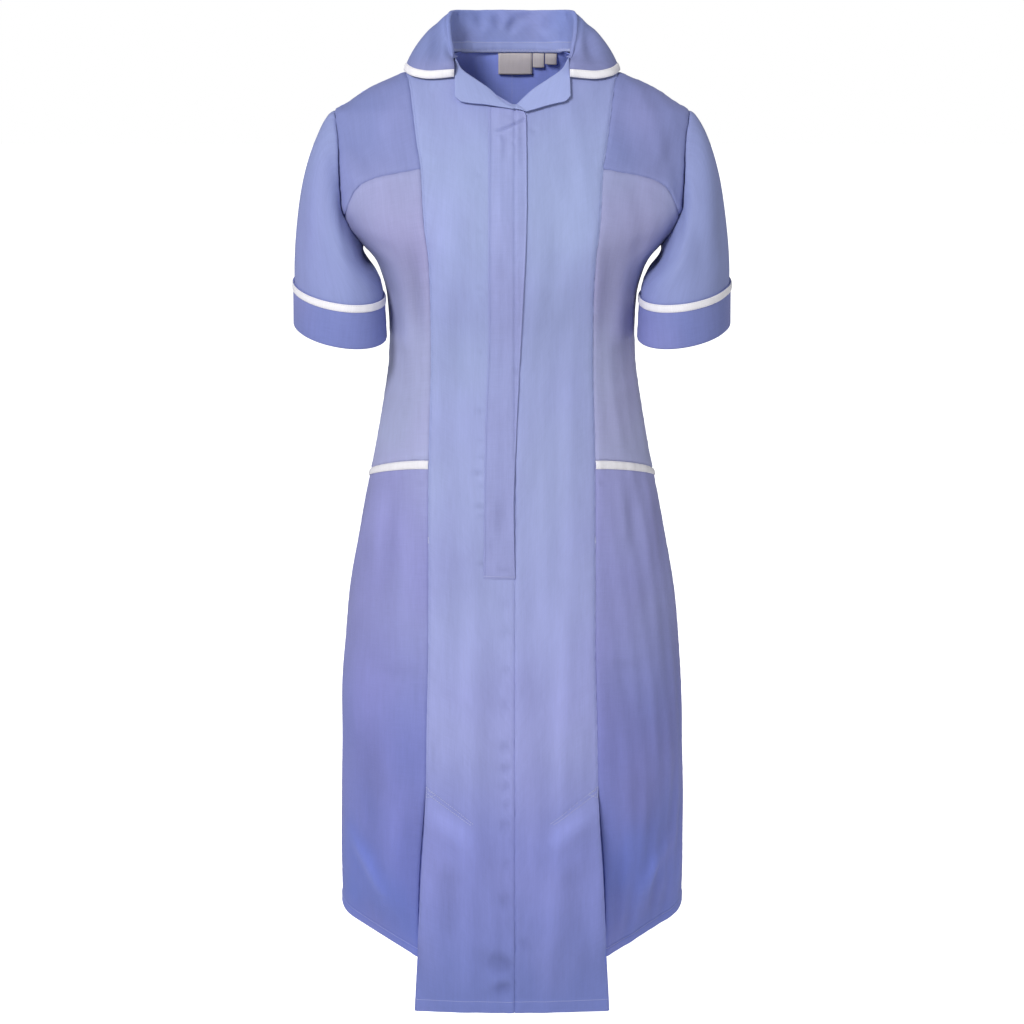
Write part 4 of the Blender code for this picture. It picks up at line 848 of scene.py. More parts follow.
SKIRT_CREASES_RIGHT = (
    Crease(-0.093, -0.438, -0.103, -0.443, 0.001, 0.0035, -0.0011),
    Crease(-0.127, -0.455, -0.132, -0.530, -0.002, 0.0080, -0.0018),
    Crease(-0.141, -0.465, -0.148, -0.570, -0.003, 0.0090, 0.0015),
    Crease(-0.112, -0.510, -0.116, -0.660, -0.003, 0.0120, 0.0015),
    Crease(-0.100, -0.642, -0.148, -0.654, 0.002, 0.0090, -0.0008),
    Crease(-0.152, -0.690, -0.158, -0.870, -0.004, 0.0150, -0.0017),
    Crease(-0.126, -0.790, -0.134, -0.965, -0.004, 0.0140, 0.0017),
    Crease(-0.186, -0.880, -0.150, -0.954, 0.004, 0.0120, 0.0034),
)
skirts = pair_of("skirt_side", skirt_shape, ("left", "right", "top"), 41, SKIRT_CREASES_LEFT,
                 SKIRT_CREASES_RIGHT, skirt_twill, band=("bottom", SIDE_HEM))


# Backs
# Four panels from the neck and shoulders to the hem: two in the middle with a plain seam
# between them, and one at each side behind the armhole, shaped in at the waist.
HEM_BACK_PRINCESS = -1.024
BACK_PRINCESS_SEAM = (
    SeamPoint(-0.017, 0.1120), SeamPoint(-0.050, 0.1090), SeamPoint(-0.120, 0.1100),
    SeamPoint(-0.165, 0.1080), SeamPoint(-0.203, 0.1030), SeamPoint(-0.243, 0.0985),
    SeamPoint(-0.309, 0.0965), SeamPoint(-0.416, 0.1040), SeamPoint(-0.610, 0.1250),
    SeamPoint(-0.781, 0.1360), SeamPoint(-1.049, 0.1450),
)
ARM_ROWS, SIDE_ROWS, SKIRT_ROWS, NECK_ROWS = 12, 11, 11, 2
BACK_ROWS = ARM_ROWS + SIDE_ROWS + SKIRT_ROWS
back_princess_x = seam_x(BACK_PRINCESS_SEAM)


def hem_stretch(z, last, wanted):
    """How much lower a row ends, so that rows that end at one hem height end at another."""
    return (wanted - last) * np.clip((z - PLEAT_TOP) / (last - PLEAT_TOP), 0, None)


def back_outer(station):
    """The armhole from the shoulder tip to the underarm, and then the side seam."""
    stations = (ARM_ROWS, ARM_ROWS + SIDE_ROWS, ARM_ROWS + SIDE_ROWS + ROWS_SKIRT_UPPER, BACK_ROWS)
    z = np.interp(station, stations, (UNDERARM, POCKET_OUTER, PLEAT_TOP, HEM_SIDE))
    arm = armhole(2 * math.pi - math.pi * np.clip(station / ARM_ROWS, 0, 1))
    return np.where((station < ARM_ROWS)[:, None], arm, side_edge(z))


def back_princess(station):
    z = back_outer(station)[:, 1]
    rise = (SHOULDER_PRINCESS - SHOULDER_TIP) * (1 - eased((SHOULDER_TIP - z) / BACK_SETTLE))
    z = z + rise + hem_stretch(z, HEM_SIDE, HEM_BACK_PRINCESS)
    x = np.where(station == 0, half_width(z), back_princess_x(z))
    return pairs(math.pi - front_angle(x, z), z)


def back_inner(share):
    """The neck end of the shoulder seam, and then the back princess seam."""
    station = share * (BACK_ROWS + NECK_ROWS) - NECK_ROWS
    shoulder = side_edge(SHOULDER_PRINCESS * (station + NECK_ROWS) / NECK_ROWS)
    return np.where((station < 0)[:, None], shoulder, back_princess(np.clip(station, 0, None)))


def back_middle(share):
    z = back_inner(share)[:, 1]
    rise = BACK_NECK * (1 - eased(-z / BACK_SETTLE))
    return pairs(math.pi, z + rise + hem_stretch(z, HEM_BACK_PRINCESS, HEM_BACK))


def straight(first, last):
    return lambda share: first + (last - first) * share[:, None]


last_station = np.array((float(BACK_ROWS),))
hem_corners = back_middle(np.ones(1))[0], back_princess(last_station)[0], back_outer(last_station)[0]
back_centre_shape = panel(body_form, back_middle, back_inner,
                          lambda share: pairs(math.pi - RIGHT_ANGLE * share, BACK_NECK * np.cos(RIGHT_ANGLE * share)),
                          straight(hem_corners[0], hem_corners[1]), cell=0.0050)
back_side_shape = panel(body_form, lambda share: back_princess(share * BACK_ROWS),
                        lambda share: back_outer(share * BACK_ROWS), shoulder_edge,
                        straight(hem_corners[1], hem_corners[2]), cell=0.0050)
# The top row is lighter and bluer than the cloth: painted light on the inside of the back neck, as though bounced off
# the blue cloth; lower rows darken towards the hem as painted shade
BACK_SHADES = (
    Shade(0.010, 146, 162, 244), Shade(-0.200, 156, 165, 218), Shade(-0.500, 154, 160, 214),
    Shade(-0.800, 132, 140, 206), Shade(-1.030, 114, 126, 194),
)
back_twill = cloth_material("twill_back", BACK_SHADES, (142, 144, 204), 0.4)
BACK_CREASES_LEFT = (
    Crease(0.090, -0.255, 0.040, -0.275, 0.004, 0.0100, 0.0018),
    Crease(0.092, -0.300, 0.030, -0.312, -0.004, 0.0110, -0.0020),
    Crease(0.094, -0.345, 0.045, -0.352, 0.004, 0.0110, 0.0016),
    Crease(0.070, -0.560, 0.080, -0.780, 0.004, 0.0160, 0.0018),
    Crease(0.110, -0.600, 0.118, -0.900, 0.004, 0.0180, -0.0021),
    Crease(0.040, -0.800, 0.046, -1.010, 0.004, 0.0150, -0.0017),
)
BACK_CREASES_RIGHT = (
    Crease(-0.092, -0.250, -0.045, -0.272, -0.004, 0.0100, 0.0018),
    Crease(-0.093, -0.296, -0.035, -0.309, 0.004, 0.0110, -0.0020),
    Crease(-0.094, -0.340, -0.050, -0.350, -0.004, 0.0110, 0.0016),
    Crease(-0.068, -0.550, -0.082, -0.790, -0.004, 0.0160, 0.0018),
    Crease(-0.108, -0.610, -0.116, -0.880, -0.004, 0.0180, -0.0021),
    Crease(-0.044, -0.790, -0.048, -1.000, -0.004, 0.0150, -0.0017),
)
BACK_SIDE_CREASES_LEFT = (
    Crease(0.168, -0.130, 0.130, -0.170, 0.006, 0.0120, -0.0017),
    Crease(0.134, -0.262, 0.104, -0.272, 0.004, 0.0090, 0.0016),
    Crease(0.133, -0.305, 0.100, -0.312, -0.004, 0.0100, -0.0017),
    Crease(0.160, -0.560, 0.172, -0.820, 0.004, 0.0180, 0.0020),
)
BACK_SIDE_CREASES_RIGHT = (
    Crease(-0.170, -0.125, -0.132, -0.168, -0.006, 0.0120, -0.0017),
    Crease(-0.134, -0.258, -0.106, -0.270, -0.004, 0.0090, 0.0016),
    Crease(-0.133, -0.300, -0.102, -0.309, 0.004, 0.0100, -0.0017),
    Crease(-0.158, -0.570, -0.170, -0.830, -0.004, 0.0180, 0.0020),
)
backs = pair_of("back_centre", back_centre_shape, ("right", "top"), 51, BACK_CREASES_LEFT,
                BACK_CREASES_RIGHT, back_twill, band=("bottom", SIDE_HEM))
back_sides = pair_of("back_side", back_side_shape, ("left", "right", "top"), 53, BACK_SIDE_CREASES_LEFT,
                     BACK_SIDE_CREASES_RIGHT, back_twill, band=("bottom", SIDE_HEM))


# Pockets
# A flat bag hangs behind each bodice side and skirt side, and a white binding finishes the
# pocket's mouth, with its two edges stitched down.
POCKET_TRIM_WIDTH = 0.0092
POCKET_BAG_ABOVE, POCKET_BAG_DEPTH, POCKET_BAG_MARGIN = 0.012, 0.150, 0.014
TRIM_CLOTH = 0.0009


def read_grid(sheet, rows, columns):
    """Reads a sheet at part rows and part columns."""
    low_row = np.minimum(rows.astype(int), len(sheet.points) - 2)[:, None]
    low_column = np.minimum(columns.astype(int), sheet.points.shape[1] - 2)[None]
    down = (rows[:, None] - low_row)[..., None]
    across = (columns[None] - low_column)[..., None]
    values = []
    for grid in (sheet.points, sheet.normals):
        upper = grid[low_row, low_column] * (1 - across) + grid[low_row, low_column + 1] * across
        lower = grid[low_row + 1, low_column] * (1 - across) + grid[low_row + 1, low_column + 1] * across
        values.append(upper * (1 - down) + lower * down)
    return values


def rows_at(sheet, distances, side="top", column=0):
    """The part rows that lie at distances from a sheet's top or bottom edge, down one column."""
    down = sheet.cut[:, column, 1]
    wanted = np.asarray(distances) if side == "top" else down[-1] - np.asarray(distances)
    return np.interp(wanted, down, np.arange(len(down)))


def columns_at(sheet, distances, side="left", row=0):
    across = sheet.cut[row, :, 0]
    wanted = np.asarray(distances) if side == "left" else across[-1] - np.asarray(distances)
    return np.interp(wanted, across, np.arange(len(across)))


def domed(across, width, height):
    """How far a folded binding stands up between its two edges."""
    share = np.clip(across / width, 0, 1)
    return height * np.clip(1 - np.abs(2 * share - 1) ** 4, 0, 1)


WHITE_SHADES = (Shade(0.060, 240, 238, 243), Shade(-0.500, 236, 234, 240))
white_binding = cloth_material("white_binding", WHITE_SHADES, ridges=2200, sheen=0.05, relief=0.00003)
BINDING_STEPS = np.array((0.0, 0.03, 0.09, 0.2, 0.35, 0.5, 0.65, 0.8, 0.91, 0.97, 1.0))


bindings = {}


def binding_on(name, points, normals, lowest, node):
    """A folded white strip on a sheet's points; its rows run across its width."""
    sheet = sheet_of(points, normals)
    width = sheet.cut[-1, :, 1].mean()
    rise = domed(sheet.cut[..., 1], width, TRIM_CLOTH * 0.9)
    rise = rise + 0.00012 * ripple(sheet.cut[..., 0], len(name))
    piece = cloth(name, sheet, lowest + rise + 0.0001, lowest, white_binding)
    surface = Sheet(sheet.points + sheet.normals * (lowest + rise)[..., None], sheet.normals, sheet.cut)
    bindings[name] = surface
    return worn(piece, [node])


for side, bodice, skirt in (("left", sides[0], skirts[0]), ("right", sides[1], skirts[1])):
    columns = np.arange(skirt.points.shape[1], dtype=float)
    rows = rows_at(skirt, BINDING_STEPS * POCKET_TRIM_WIDTH)
    points, normals = read_grid(skirt, rows, columns)
    binding_on(f"pocket_binding_{side}", points, normals, LAYER_GAP, f"pocket_trim_{side}")
    bag_columns = columns_at(skirt, np.linspace(POCKET_BAG_MARGIN, skirt.cut[0, -1, 0] - POCKET_BAG_MARGIN, 20))
    upper = read_grid(bodice, rows_at(bodice, (POCKET_BAG_ABOVE, POCKET_BAG_ABOVE / 2), "bottom"), bag_columns)
    lower = read_grid(skirt, rows_at(skirt, np.linspace(0, POCKET_BAG_DEPTH, 30)), bag_columns)
    bag = sheet_of(*(np.concatenate(both) for both in zip(upper, lower)))
    behind = CLOTH + LAYER_GAP + 0.0006
    piece = cloth(f"pocket_bag_{side}_cloth", bag, -behind, -behind - CLOTH, skirt_twill)
    worn(piece, [f"pocket_bag_{side}"])


# Kick pleat underlays
# Inside each opening the cloth folds back behind the middle panel, turns, and comes out
# again behind the side panel, so that the skirt can open for a stride.
PLEAT_DEPTH, PLEAT_LAP, PLEAT_OPENING = 0.054, 0.008, 0.0125
PLEAT_LEAF_HEM, PLEAT_FOLD_HEM = -1.042, -1.030
PLEAT_FIRST_DEPTH = CLOTH * 1.5 + LAYER_GAP * 1.6
PLEAT_TURN = (CLOTH + LAYER_GAP) / 2
PLEAT_ROWS = 60


def pleat_underlay(skirt):
    """Read on the skirt side's own free edge, so that it comes out just behind it."""
    down = np.linspace(0, 1, PLEAT_ROWS)[:, None]
    across = np.linspace(0, 1, 10)[None]
    top = PLEAT_TOP - 0.0018 + (PLEAT_TOP_INNER - PLEAT_TOP + 0.0018) * across
    z = top + (PLEAT_LEAF_HEM + (PLEAT_FOLD_HEM - PLEAT_LEAF_HEM) * across - top) * down
    angle = front_angle(princess_x(z) - LAYER_GAP - PLEAT_DEPTH * across, z)
    out = outward(middle_form, angle, z)
    depth = PLEAT_FIRST_DEPTH + PLEAT_OPENING * pleat_share(z) * across
    leaf = middle_form(angle, z) - out * depth[..., None]
    fold, fold_out = leaf[:, -1], out[:, -1]
    inward = unit(fold - leaf[:, -2])
    bends = np.radians((30, 60, 90, 120, 150, 180))[None, :, None]
    turn = (fold[:, None] + inward[:, None] * PLEAT_TURN * np.sin(bends)
            - fold_out[:, None] * PLEAT_TURN * (1 - np.cos(bends)))
    first = rows_at(skirt, 0.0)
    edge_rows = np.interp(np.linspace(-0.776, HEM_PLEAT + 0.003, PLEAT_ROWS)[::-1],
                          skirt.points[::-1, 0, 2], np.arange(len(skirt.points))[::-1])[::-1]
    edge, edge_out = read_grid(skirt, edge_rows + first * 0, columns_at(skirt, (0.0002, PLEAT_LAP), row=-1))
    settle = 2 * PLEAT_TURN * np.clip(pleat_share(edge[..., 2]) * 10, 0, 1)
    edge = edge - edge_out * (PLEAT_FIRST_DEPTH + 2 * PLEAT_TURN - settle)[..., None]
    back_share = np.linspace(0, 1, 10)[None, 1:, None]
    back_leaf = turn[:, -1:] + (edge[:, :1] - turn[:, -1:]) * back_share
    return sheet_of(np.concatenate((leaf, turn, back_leaf, edge[:, 1:]), axis=1))


for side, flip in (("left", False), ("right", True)):
    underlay = pleat_underlay(skirts[0])
    underlay = mirrored(underlay) if flip else underlay
    piece = cloth(f"pleat_underlay_{side}_cloth", underlay, CLOTH / 2, -CLOTH / 2, skirt_twill)
    worn(piece, [f"pleat_underlay_{side}"])


# Placket and zip
# The wearer's right front laps over the zip as a flat placket: a folded edge towards the
# left, a row of stitches down its other side, and a bar of stitches at its end.
PLACKET_FOLD = (
    SeamPoint(-0.0515, 0.0105), SeamPoint(-0.0575, 0.0130), SeamPoint(-0.0615, 0.0149), SeamPoint(-0.141, 0.0156),
    SeamPoint(-0.263, 0.0109), SeamPoint(-0.390, 0.0047), SeamPoint(-0.464, 0.0023),
    SeamPoint(-0.540, 0.0037),
)
PLACKET_STITCH = (
    SeamPoint(-0.0515, -0.0242), SeamPoint(-0.263, -0.0243), SeamPoint(-0.390, -0.0285),
    SeamPoint(-0.540, -0.0305),
)
PLACKET_TOP, PLACKET_END = -0.0515, -0.5385
ZIP_TAPE_WIDTH, ZIP_TAPE_TOP = 0.030, -0.062
BACK_TURNING_TOP, BACK_TURNING_WIDTH = -0.085, 0.022
fold_x, stitch_x = seam_x(PLACKET_FOLD), seam_x(PLACKET_STITCH)


def on_front(x, z, sheets):
    """Points and directions on the pressed front panels, seen from the front at (x, z)."""
    x, z = np.broadcast_arrays(np.asarray(x, float), np.asarray(z, float))
    points, normals = np.zeros((*x.shape, 3)), np.zeros((*x.shape, 3))
    missing = np.full(x.shape, np.inf)
    for sheet in sheets:
        grid = sheet.points[..., (0, 2)]
        for place in np.ndindex(x.shape):
            target = np.array((x[place], z[place]))
            row, column = np.unravel_index(np.argmin(((grid - target) ** 2).sum(-1)), grid.shape[:2])
            row = min(max(row, 1), grid.shape[0] - 2)
            column = min(max(column, 1), grid.shape[1] - 2)
            down = (grid[row + 1, column] - grid[row - 1, column]) / 2
            across = (grid[row, column + 1] - grid[row, column - 1]) / 2
            shares = np.linalg.solve(np.stack((down, across), axis=1), target - grid[row, column])
            outside = np.abs(shares).max()
            if outside < missing[place] - 1e-3:
                missing[place] = outside
                for source, result in ((sheet.points, points), (sheet.normals, normals)):
                    slope_down = (source[row + 1, column] - source[row - 1, column]) / 2
                    slope_across = (source[row, column + 1] - source[row, column - 1]) / 2
                    result[place] = source[row, column] + slope_down * shares[0] + slope_across * shares[1]
    return points, unit(normals)


fronts = (middle_left, middle_right)
placket_z = np.concatenate((np.linspace(PLACKET_TOP, -0.092, 44), np.linspace(-0.096, PLACKET_END + 0.006, 108),
                            PLACKET_END + np.array((0.0035, 0.0015, 0.0005, 0.0))))[:, None]
placket_share = np.concatenate(((0, 0.010, 0.022, 0.036, 0.055, 0.08), np.linspace(0.11, 0.93, 26), (0.952, 0.968, 0.98, 0.991, 1.0)))[None]
placket_x = stitch_x(placket_z) + (fold_x(placket_z) - stitch_x(placket_z)) * placket_share
placket = sheet_of(*on_front(placket_x, placket_z + 0 * placket_share, fronts))
PLACKET_CREASES = (
    Crease(0.0150, -0.0628, -0.0066, -0.0728, 0.0006, 0.0015, -0.0024),
    Crease(-0.0040, -0.0718, -0.0165, -0.0748, 0.0008, 0.0015, -0.0020),
    Crease(0.0100, -0.0680, -0.0080, -0.0775, 0.0005, 0.0030, 0.0011),
    Crease(-0.0060, -0.0780, -0.0075, -0.1050, 0.0005, 0.0034, -0.0011),
    Crease(-0.0150, -0.0790, -0.0130, -0.0890, 0.0005, 0.0030, 0.0012),
    Crease(0.0090, -0.0680, 0.0105, -0.1120, 0.0005, 0.0030, -0.0009),
    Crease(-0.0105, -0.2000, -0.0110, -0.2260, 0.001, 0.0060, -0.0011),
    Crease(0.0040, -0.3180, 0.0085, -0.3240, 0.0005, 0.0030, -0.0010),
    Crease(-0.0020, -0.2900, -0.0060, -0.3600, 0.001, 0.0060, 0.0008),
    Crease(-0.0130, -0.4550, -0.0135, -0.4920, 0.001, 0.0070, -0.0017),
    Crease(-0.0240, -0.4960, -0.0250, -0.5160, 0.0005, 0.0035, -0.0009),
    Crease(-0.0150, -0.5285, 0.0000, -0.5300, 0.0005, 0.0030, -0.0014),
    Crease(-0.0140, -0.1200, -0.0120, -0.1800, 0.001, 0.0070, 0.0007),
)
PLACKET_RISE = LAYER_GAP + CLOTH
PLACKET_EDGE_REACHES = (0.0, 0.0008, 0.0016, 0.0030, 0.0120)
PLACKET_EDGE_LIFTS = (0.00015, 0.00085, 0.00085, 0.00035, PLACKET_RISE)
FOLD_REACHES = (0.0, 0.0003, 0.0009, 0.0024, 0.0045)
FOLD_LIFTS = (-0.0005, 0.0002, 0.0008, 0.0001, 0.0)
end_away = edge_distances(placket)["bottom"]
fold_away = edge_distances(placket)["right"]
placket_relief = crease_relief(placket.points, PLACKET_CREASES)
placket_relief += 0.00025 * ripple(placket.cut[..., 1] * 0.6, 61) * np.exp(-placket.cut[..., 0] / 0.008)
placket_relief += 0.00030 * ripple(placket.cut[..., 1] * 0.3, 63) * np.exp(-fold_away / 0.006)
placket_relief += np.interp(fold_away, FOLD_REACHES, FOLD_LIFTS)
placket_outer = np.interp(placket.cut[..., 0], PLACKET_EDGE_REACHES, PLACKET_EDGE_LIFTS)
placket_outer = 0.00015 + (placket_outer - 0.00015) * eased(0.15 + end_away / 0.005) + placket_relief
placket_outer = np.maximum(placket_outer, 0.00012)
placket = Sheet(placket.points, placket.normals, placket.cut, placket_relief)
placket_inner = np.maximum(placket_outer - CLOTH, 0.00008)
PLACKET_SHADES = (Shade(-0.050, 149, 158, 207), Shade(-0.300, 150, 158, 206), Shade(-0.540, 149, 155, 205))
placket_twill = cloth_material("twill_placket", PLACKET_SHADES, (146, 144, 200), 0.4)
piece = cloth("placket_cloth", placket, placket_outer, placket_inner, placket_twill)
worn(piece, ["placket"])

tape_z = np.linspace(ZIP_TAPE_TOP, PLACKET_END, 80)[:, None]
tape_x = CENTRE_SEAM_X + np.linspace(-0.5, 0.5, 9)[None] * ZIP_TAPE_WIDTH
tape = sheet_of(*on_front(tape_x + 0 * tape_z, tape_z + 0 * tape_x, fronts))
TAPE_SHADES = (Shade(0.0, 118, 128, 190), Shade(-0.600, 112, 122, 186))
tape_cloth = cloth_material("zip_tape", TAPE_SHADES, ridges=900, sheen=0.0)
behind = CLOTH + LAYER_GAP
worn(cloth("zip_tape_cloth", tape, -behind, -behind - CLOTH, tape_cloth), ["zip_tape"])


allowance_z = np.linspace(PLACKET_END - 0.0005, HEM_FRONT + 0.0010, 60)[:, None]
allowance = sheet_of(*on_front(tape_x * 0.8 + 0 * allowance_z, allowance_z + 0 * tape_x, fronts))
behind = CLOTH + 0.0003
worn(cloth("centre_seam_allowance", allowance, -behind, -behind - CLOTH, middle_twill), [])
turning_z = np.linspace(BACK_TURNING_TOP, HEM_BACK + 0.0010, 110)[:, None]
turning_x = np.linspace(-0.5, 0.5, 9)[None] * BACK_TURNING_WIDTH
turning = sheet_of(*on_front(turning_x + 0 * turning_z, turning_z + 0 * turning_x, backs))
if turning.normals[5, 5, 1] < 0:
    turning = Sheet(turning.points, -turning.normals, turning.cut)
worn(cloth("back_seam_allowance", turning, -behind, -behind - CLOTH, back_twill), [])


# Lapels
# The front facings turn back over the neckline as two small lapels. Each rolls over at the
# neck edge and lies on the front, a little clear of it at its lower edge.
LAPEL_EDGE_RIGHT = (
    SeamPoint(-0.0430, 0.0584), SeamPoint(-0.0482, 0.0515), SeamPoint(-0.0499, 0.0400),
    SeamPoint(-0.0508, 0.0285), SeamPoint(-0.0527, 0.0160), SeamPoint(-0.0545, 0.0035),
    SeamPoint(-0.0560, -0.0085), SeamPoint(-0.0578, -0.0146),
)
LAPEL_EDGE_LEFT = (
    SeamPoint(-0.0425, 0.0600), SeamPoint(-0.0477, 0.0543), SeamPoint(-0.0500, 0.0440),
    SeamPoint(-0.0523, 0.0345), SeamPoint(-0.0550, 0.0250), SeamPoint(-0.0578, 0.0146),
)
LAPEL_TOP_X, LAPEL_TIP_X = 0.0588, 0.0063
LAPEL_GAP, LAPEL_LIFT = 0.0019, 0.0014
LAPEL_COLUMNS, LAPEL_ROWS = 44, 14
roll_z = smooth_table([point.x for point in ROLL_LINE], [point.z for point in ROLL_LINE])


def lapel(side, edge, tip_x):
    """From inside the neckline over its roll, and down the front to the lapel's lower edge."""
    share = np.linspace(0, 1, LAPEL_COLUMNS)
    corners = np.linspace(0, 1, len(edge))
    low_x = smooth_table(corners, [point.x for point in edge])(share)
    low_z = smooth_table(corners, [point.z for point in edge])(share)
    top_x = LAPEL_TOP_X + (tip_x - LAPEL_TOP_X) * share
    top_z = roll_z(top_x) - SEAM_GAP
    down = np.concatenate(((0.0, 0.03, 0.08), np.linspace(0.15, 0.93, LAPEL_ROWS - 6), (0.97, 0.99, 1.0)))[:, None]
    points, normals = on_front(side * (top_x + (low_x - top_x) * down), top_z + (low_z - top_z) * down, fronts)
    belly = np.sin(math.pi * np.clip(down, 0, 1)) * 0.0008
    lift = LAPEL_GAP + CLOTH / 2 + LAPEL_LIFT * down ** 1.5 + belly
    leaf = points + normals * lift[..., None]
    neck, neck_out = points[0], normals[0]
    upward = unit(points[0] - points[1])
    half = (LAPEL_GAP + CLOTH / 2 + CLOTH + 0.0008) / 2
    hub = neck + neck_out * (LAPEL_GAP + CLOTH / 2 - half)
    bends = np.radians((150, 120, 90, 60, 30))[:, None, None]
    roll = hub + neck_out * half * np.cos(bends) + upward * half * np.sin(bends) * 0.8
    inside = [hub - neck_out * half - upward * reach for reach in (0.010, 0.005, 0.0015, 0.0)]
    return sheet_of(np.concatenate((np.array(inside), roll, leaf)))


LAPEL_SHADES = (Shade(0.0, 151, 162, 210), Shade(-0.060, 150, 161, 209))
lapel_twill = cloth_material("twill_lapel", LAPEL_SHADES)
for side, flip, edge, tip in (("left", 1, LAPEL_EDGE_LEFT, LAPEL_TIP_X), ("right", -1, LAPEL_EDGE_RIGHT, -LAPEL_TIP_X)):
    turned = lapel(flip, edge, tip)
    piece = cloth(f"lapel_{side}_cloth", turned, CLOTH / 2, -CLOTH / 2, lapel_twill)
    worn(piece, [f"lapel_{side}"])


# Collar
# One band of doubled cloth: it stands up from the neck seam, folds over, and its leaf lies
# back on the shoulders. A white binding runs round the leaf's outer edge.
CollarPoint = namedtuple("CollarPoint", "share seam_angle seam_z fold edge")
COLLAR_POINTS = (
    CollarPoint(0.00, 180.0, 0.0090, (0.0000, 0.0560, 0.0465), (0.0000, 0.0640, -0.0060)),
    CollarPoint(0.25, 152.0, 0.0080, (0.0300, 0.0530, 0.0462), (0.0450, 0.0600, -0.0085)),
    CollarPoint(0.45, 125.0, 0.0052, (0.0540, 0.0400, 0.0460), (0.0820, 0.0440, -0.0115)),
    CollarPoint(0.60, 104.0, 0.0022, (0.0640, 0.0225, 0.0448), (0.1050, 0.0190, -0.0140)),
    CollarPoint(0.72, 86.0, 0.0000, (0.0668, 0.0050, 0.0360), (0.1125, -0.0050, -0.0155)),
    CollarPoint(0.82, 74.0, -0.0008, (0.0655, -0.0100, 0.0210), (0.1045, -0.0245, -0.0208)),
    CollarPoint(0.91, 62.0, -0.0017, (0.0626, -0.0205, 0.0075), (0.0850, -0.0350, -0.0240)),
    CollarPoint(1.00, 51.5, -0.0026, (0.0612, -0.0290, -0.0022), (0.0597, -0.0385, -0.0216)),
)
COLLAR_TURN, COLLAR_BULGE, COLLAR_TRIM_WIDTH = 0.0020, 0.0125, 0.0080
COLLAR_COLUMNS = 141


def collar_shape():
    shares = [row.share for row in COLLAR_POINTS]
    along = np.linspace(-1, 1, COLLAR_COLUMNS)
    share, side = np.abs(along), np.sign(along + 1e-9)
    angle = np.radians(smooth_table(shares, [row.seam_angle for row in COLLAR_POINTS])(share))
    z = smooth_table(shares, [row.seam_z for row in COLLAR_POINTS])(share)
    crest, rim = (np.stack([smooth_table(shares, [getattr(row, line)[axis] for row in COLLAR_POINTS])(share)
                            for axis in range(3)], axis=-1) for line in ("fold", "edge"))
    up = np.array((0.0, 0.0, 1.0))
    base = body_form(angle, z) - outward(body_form, angle, z) * CLOTH / 2 + up * CLOTH
    out = unit((rim - crest) * np.array((1.0, 1.0, 0.0)))
    hub = crest - up * COLLAR_TURN
    stand_top = hub - out * COLLAR_TURN
    rows = [base + (stand_top - base) * step for step in np.linspace(0, 0.94, 12)]
    for bend in np.radians((0, 25, 50, 75, 90, 105, 130, 155, 180)):
        rows.append(hub - out * COLLAR_TURN * math.cos(bend) + up * COLLAR_TURN * math.sin(bend))
    start = rows[-1]
    control = (start + rim) / 2 + out * COLLAR_BULGE + up * COLLAR_BULGE / 2
    for leaf in np.concatenate((np.linspace(0.06, 0.94, 18), (0.97, 0.99, 1.0))):
        rows.append(start * (1 - leaf) ** 2 + control * 2 * leaf * (1 - leaf) + rim * leaf ** 2)
    points = np.array(rows)
    points[..., 0] *= side
    sheet = sheet_of(points)
    if sheet.normals[-1, COLLAR_COLUMNS // 2, 1] < 0:
        sheet = Sheet(sheet.points, -sheet.normals, sheet.cut)
    return sheet


COLLAR_CREASES = (
    Crease(-0.0760, 0.0340, -0.0850, -0.0060, 0.002, 0.0060, -0.0034),
    Crease(0.0760, 0.0350, 0.0860, -0.0070, -0.002, 0.0060, -0.0034),
    Crease(-0.0690, 0.0300, -0.0710, -0.0080, 0.001, 0.0055, 0.0022),
    Crease(0.0690, 0.0310, 0.0705, -0.0080, -0.001, 0.0055, 0.0022),
)
STAND_CREASES = (
    Crease(-0.0590, 0.0415, -0.0565, 0.0375, 0.0002, 0.0022, -0.0022),
    Crease(0.0590, 0.0415, 0.0565, 0.0375, -0.0002, 0.0022, -0.0022),
    Crease(-0.0400, 0.0400, -0.0340, 0.0260, 0.002, 0.0055, -0.0024),
    Crease(0.0430, 0.0400, 0.0360, 0.0250, -0.002, 0.0050, -0.0018),
    Crease(-0.0210, 0.0410, -0.0130, 0.0270, 0.001, 0.0050, -0.0026),
    Crease(0.0060, 0.0410, -0.0060, 0.0240, 0.001, 0.0050, -0.0026),
    Crease(0.0060, 0.0360, 0.0230, 0.0400, 0.002, 0.0050, -0.0016),
    Crease(-0.0420, 0.0330, -0.0300, 0.0180, 0.003, 0.0070, 0.0020),
    Crease(0.0330, 0.0300, 0.0420, 0.0180, -0.003, 0.0070, 0.0020),
    Crease(-0.0520, 0.0220, -0.0470, 0.0140, 0.001, 0.0045, -0.0014),
    Crease(0.0520, 0.0240, 0.0470, 0.0160, 0.001, 0.0045, -0.0014),
)
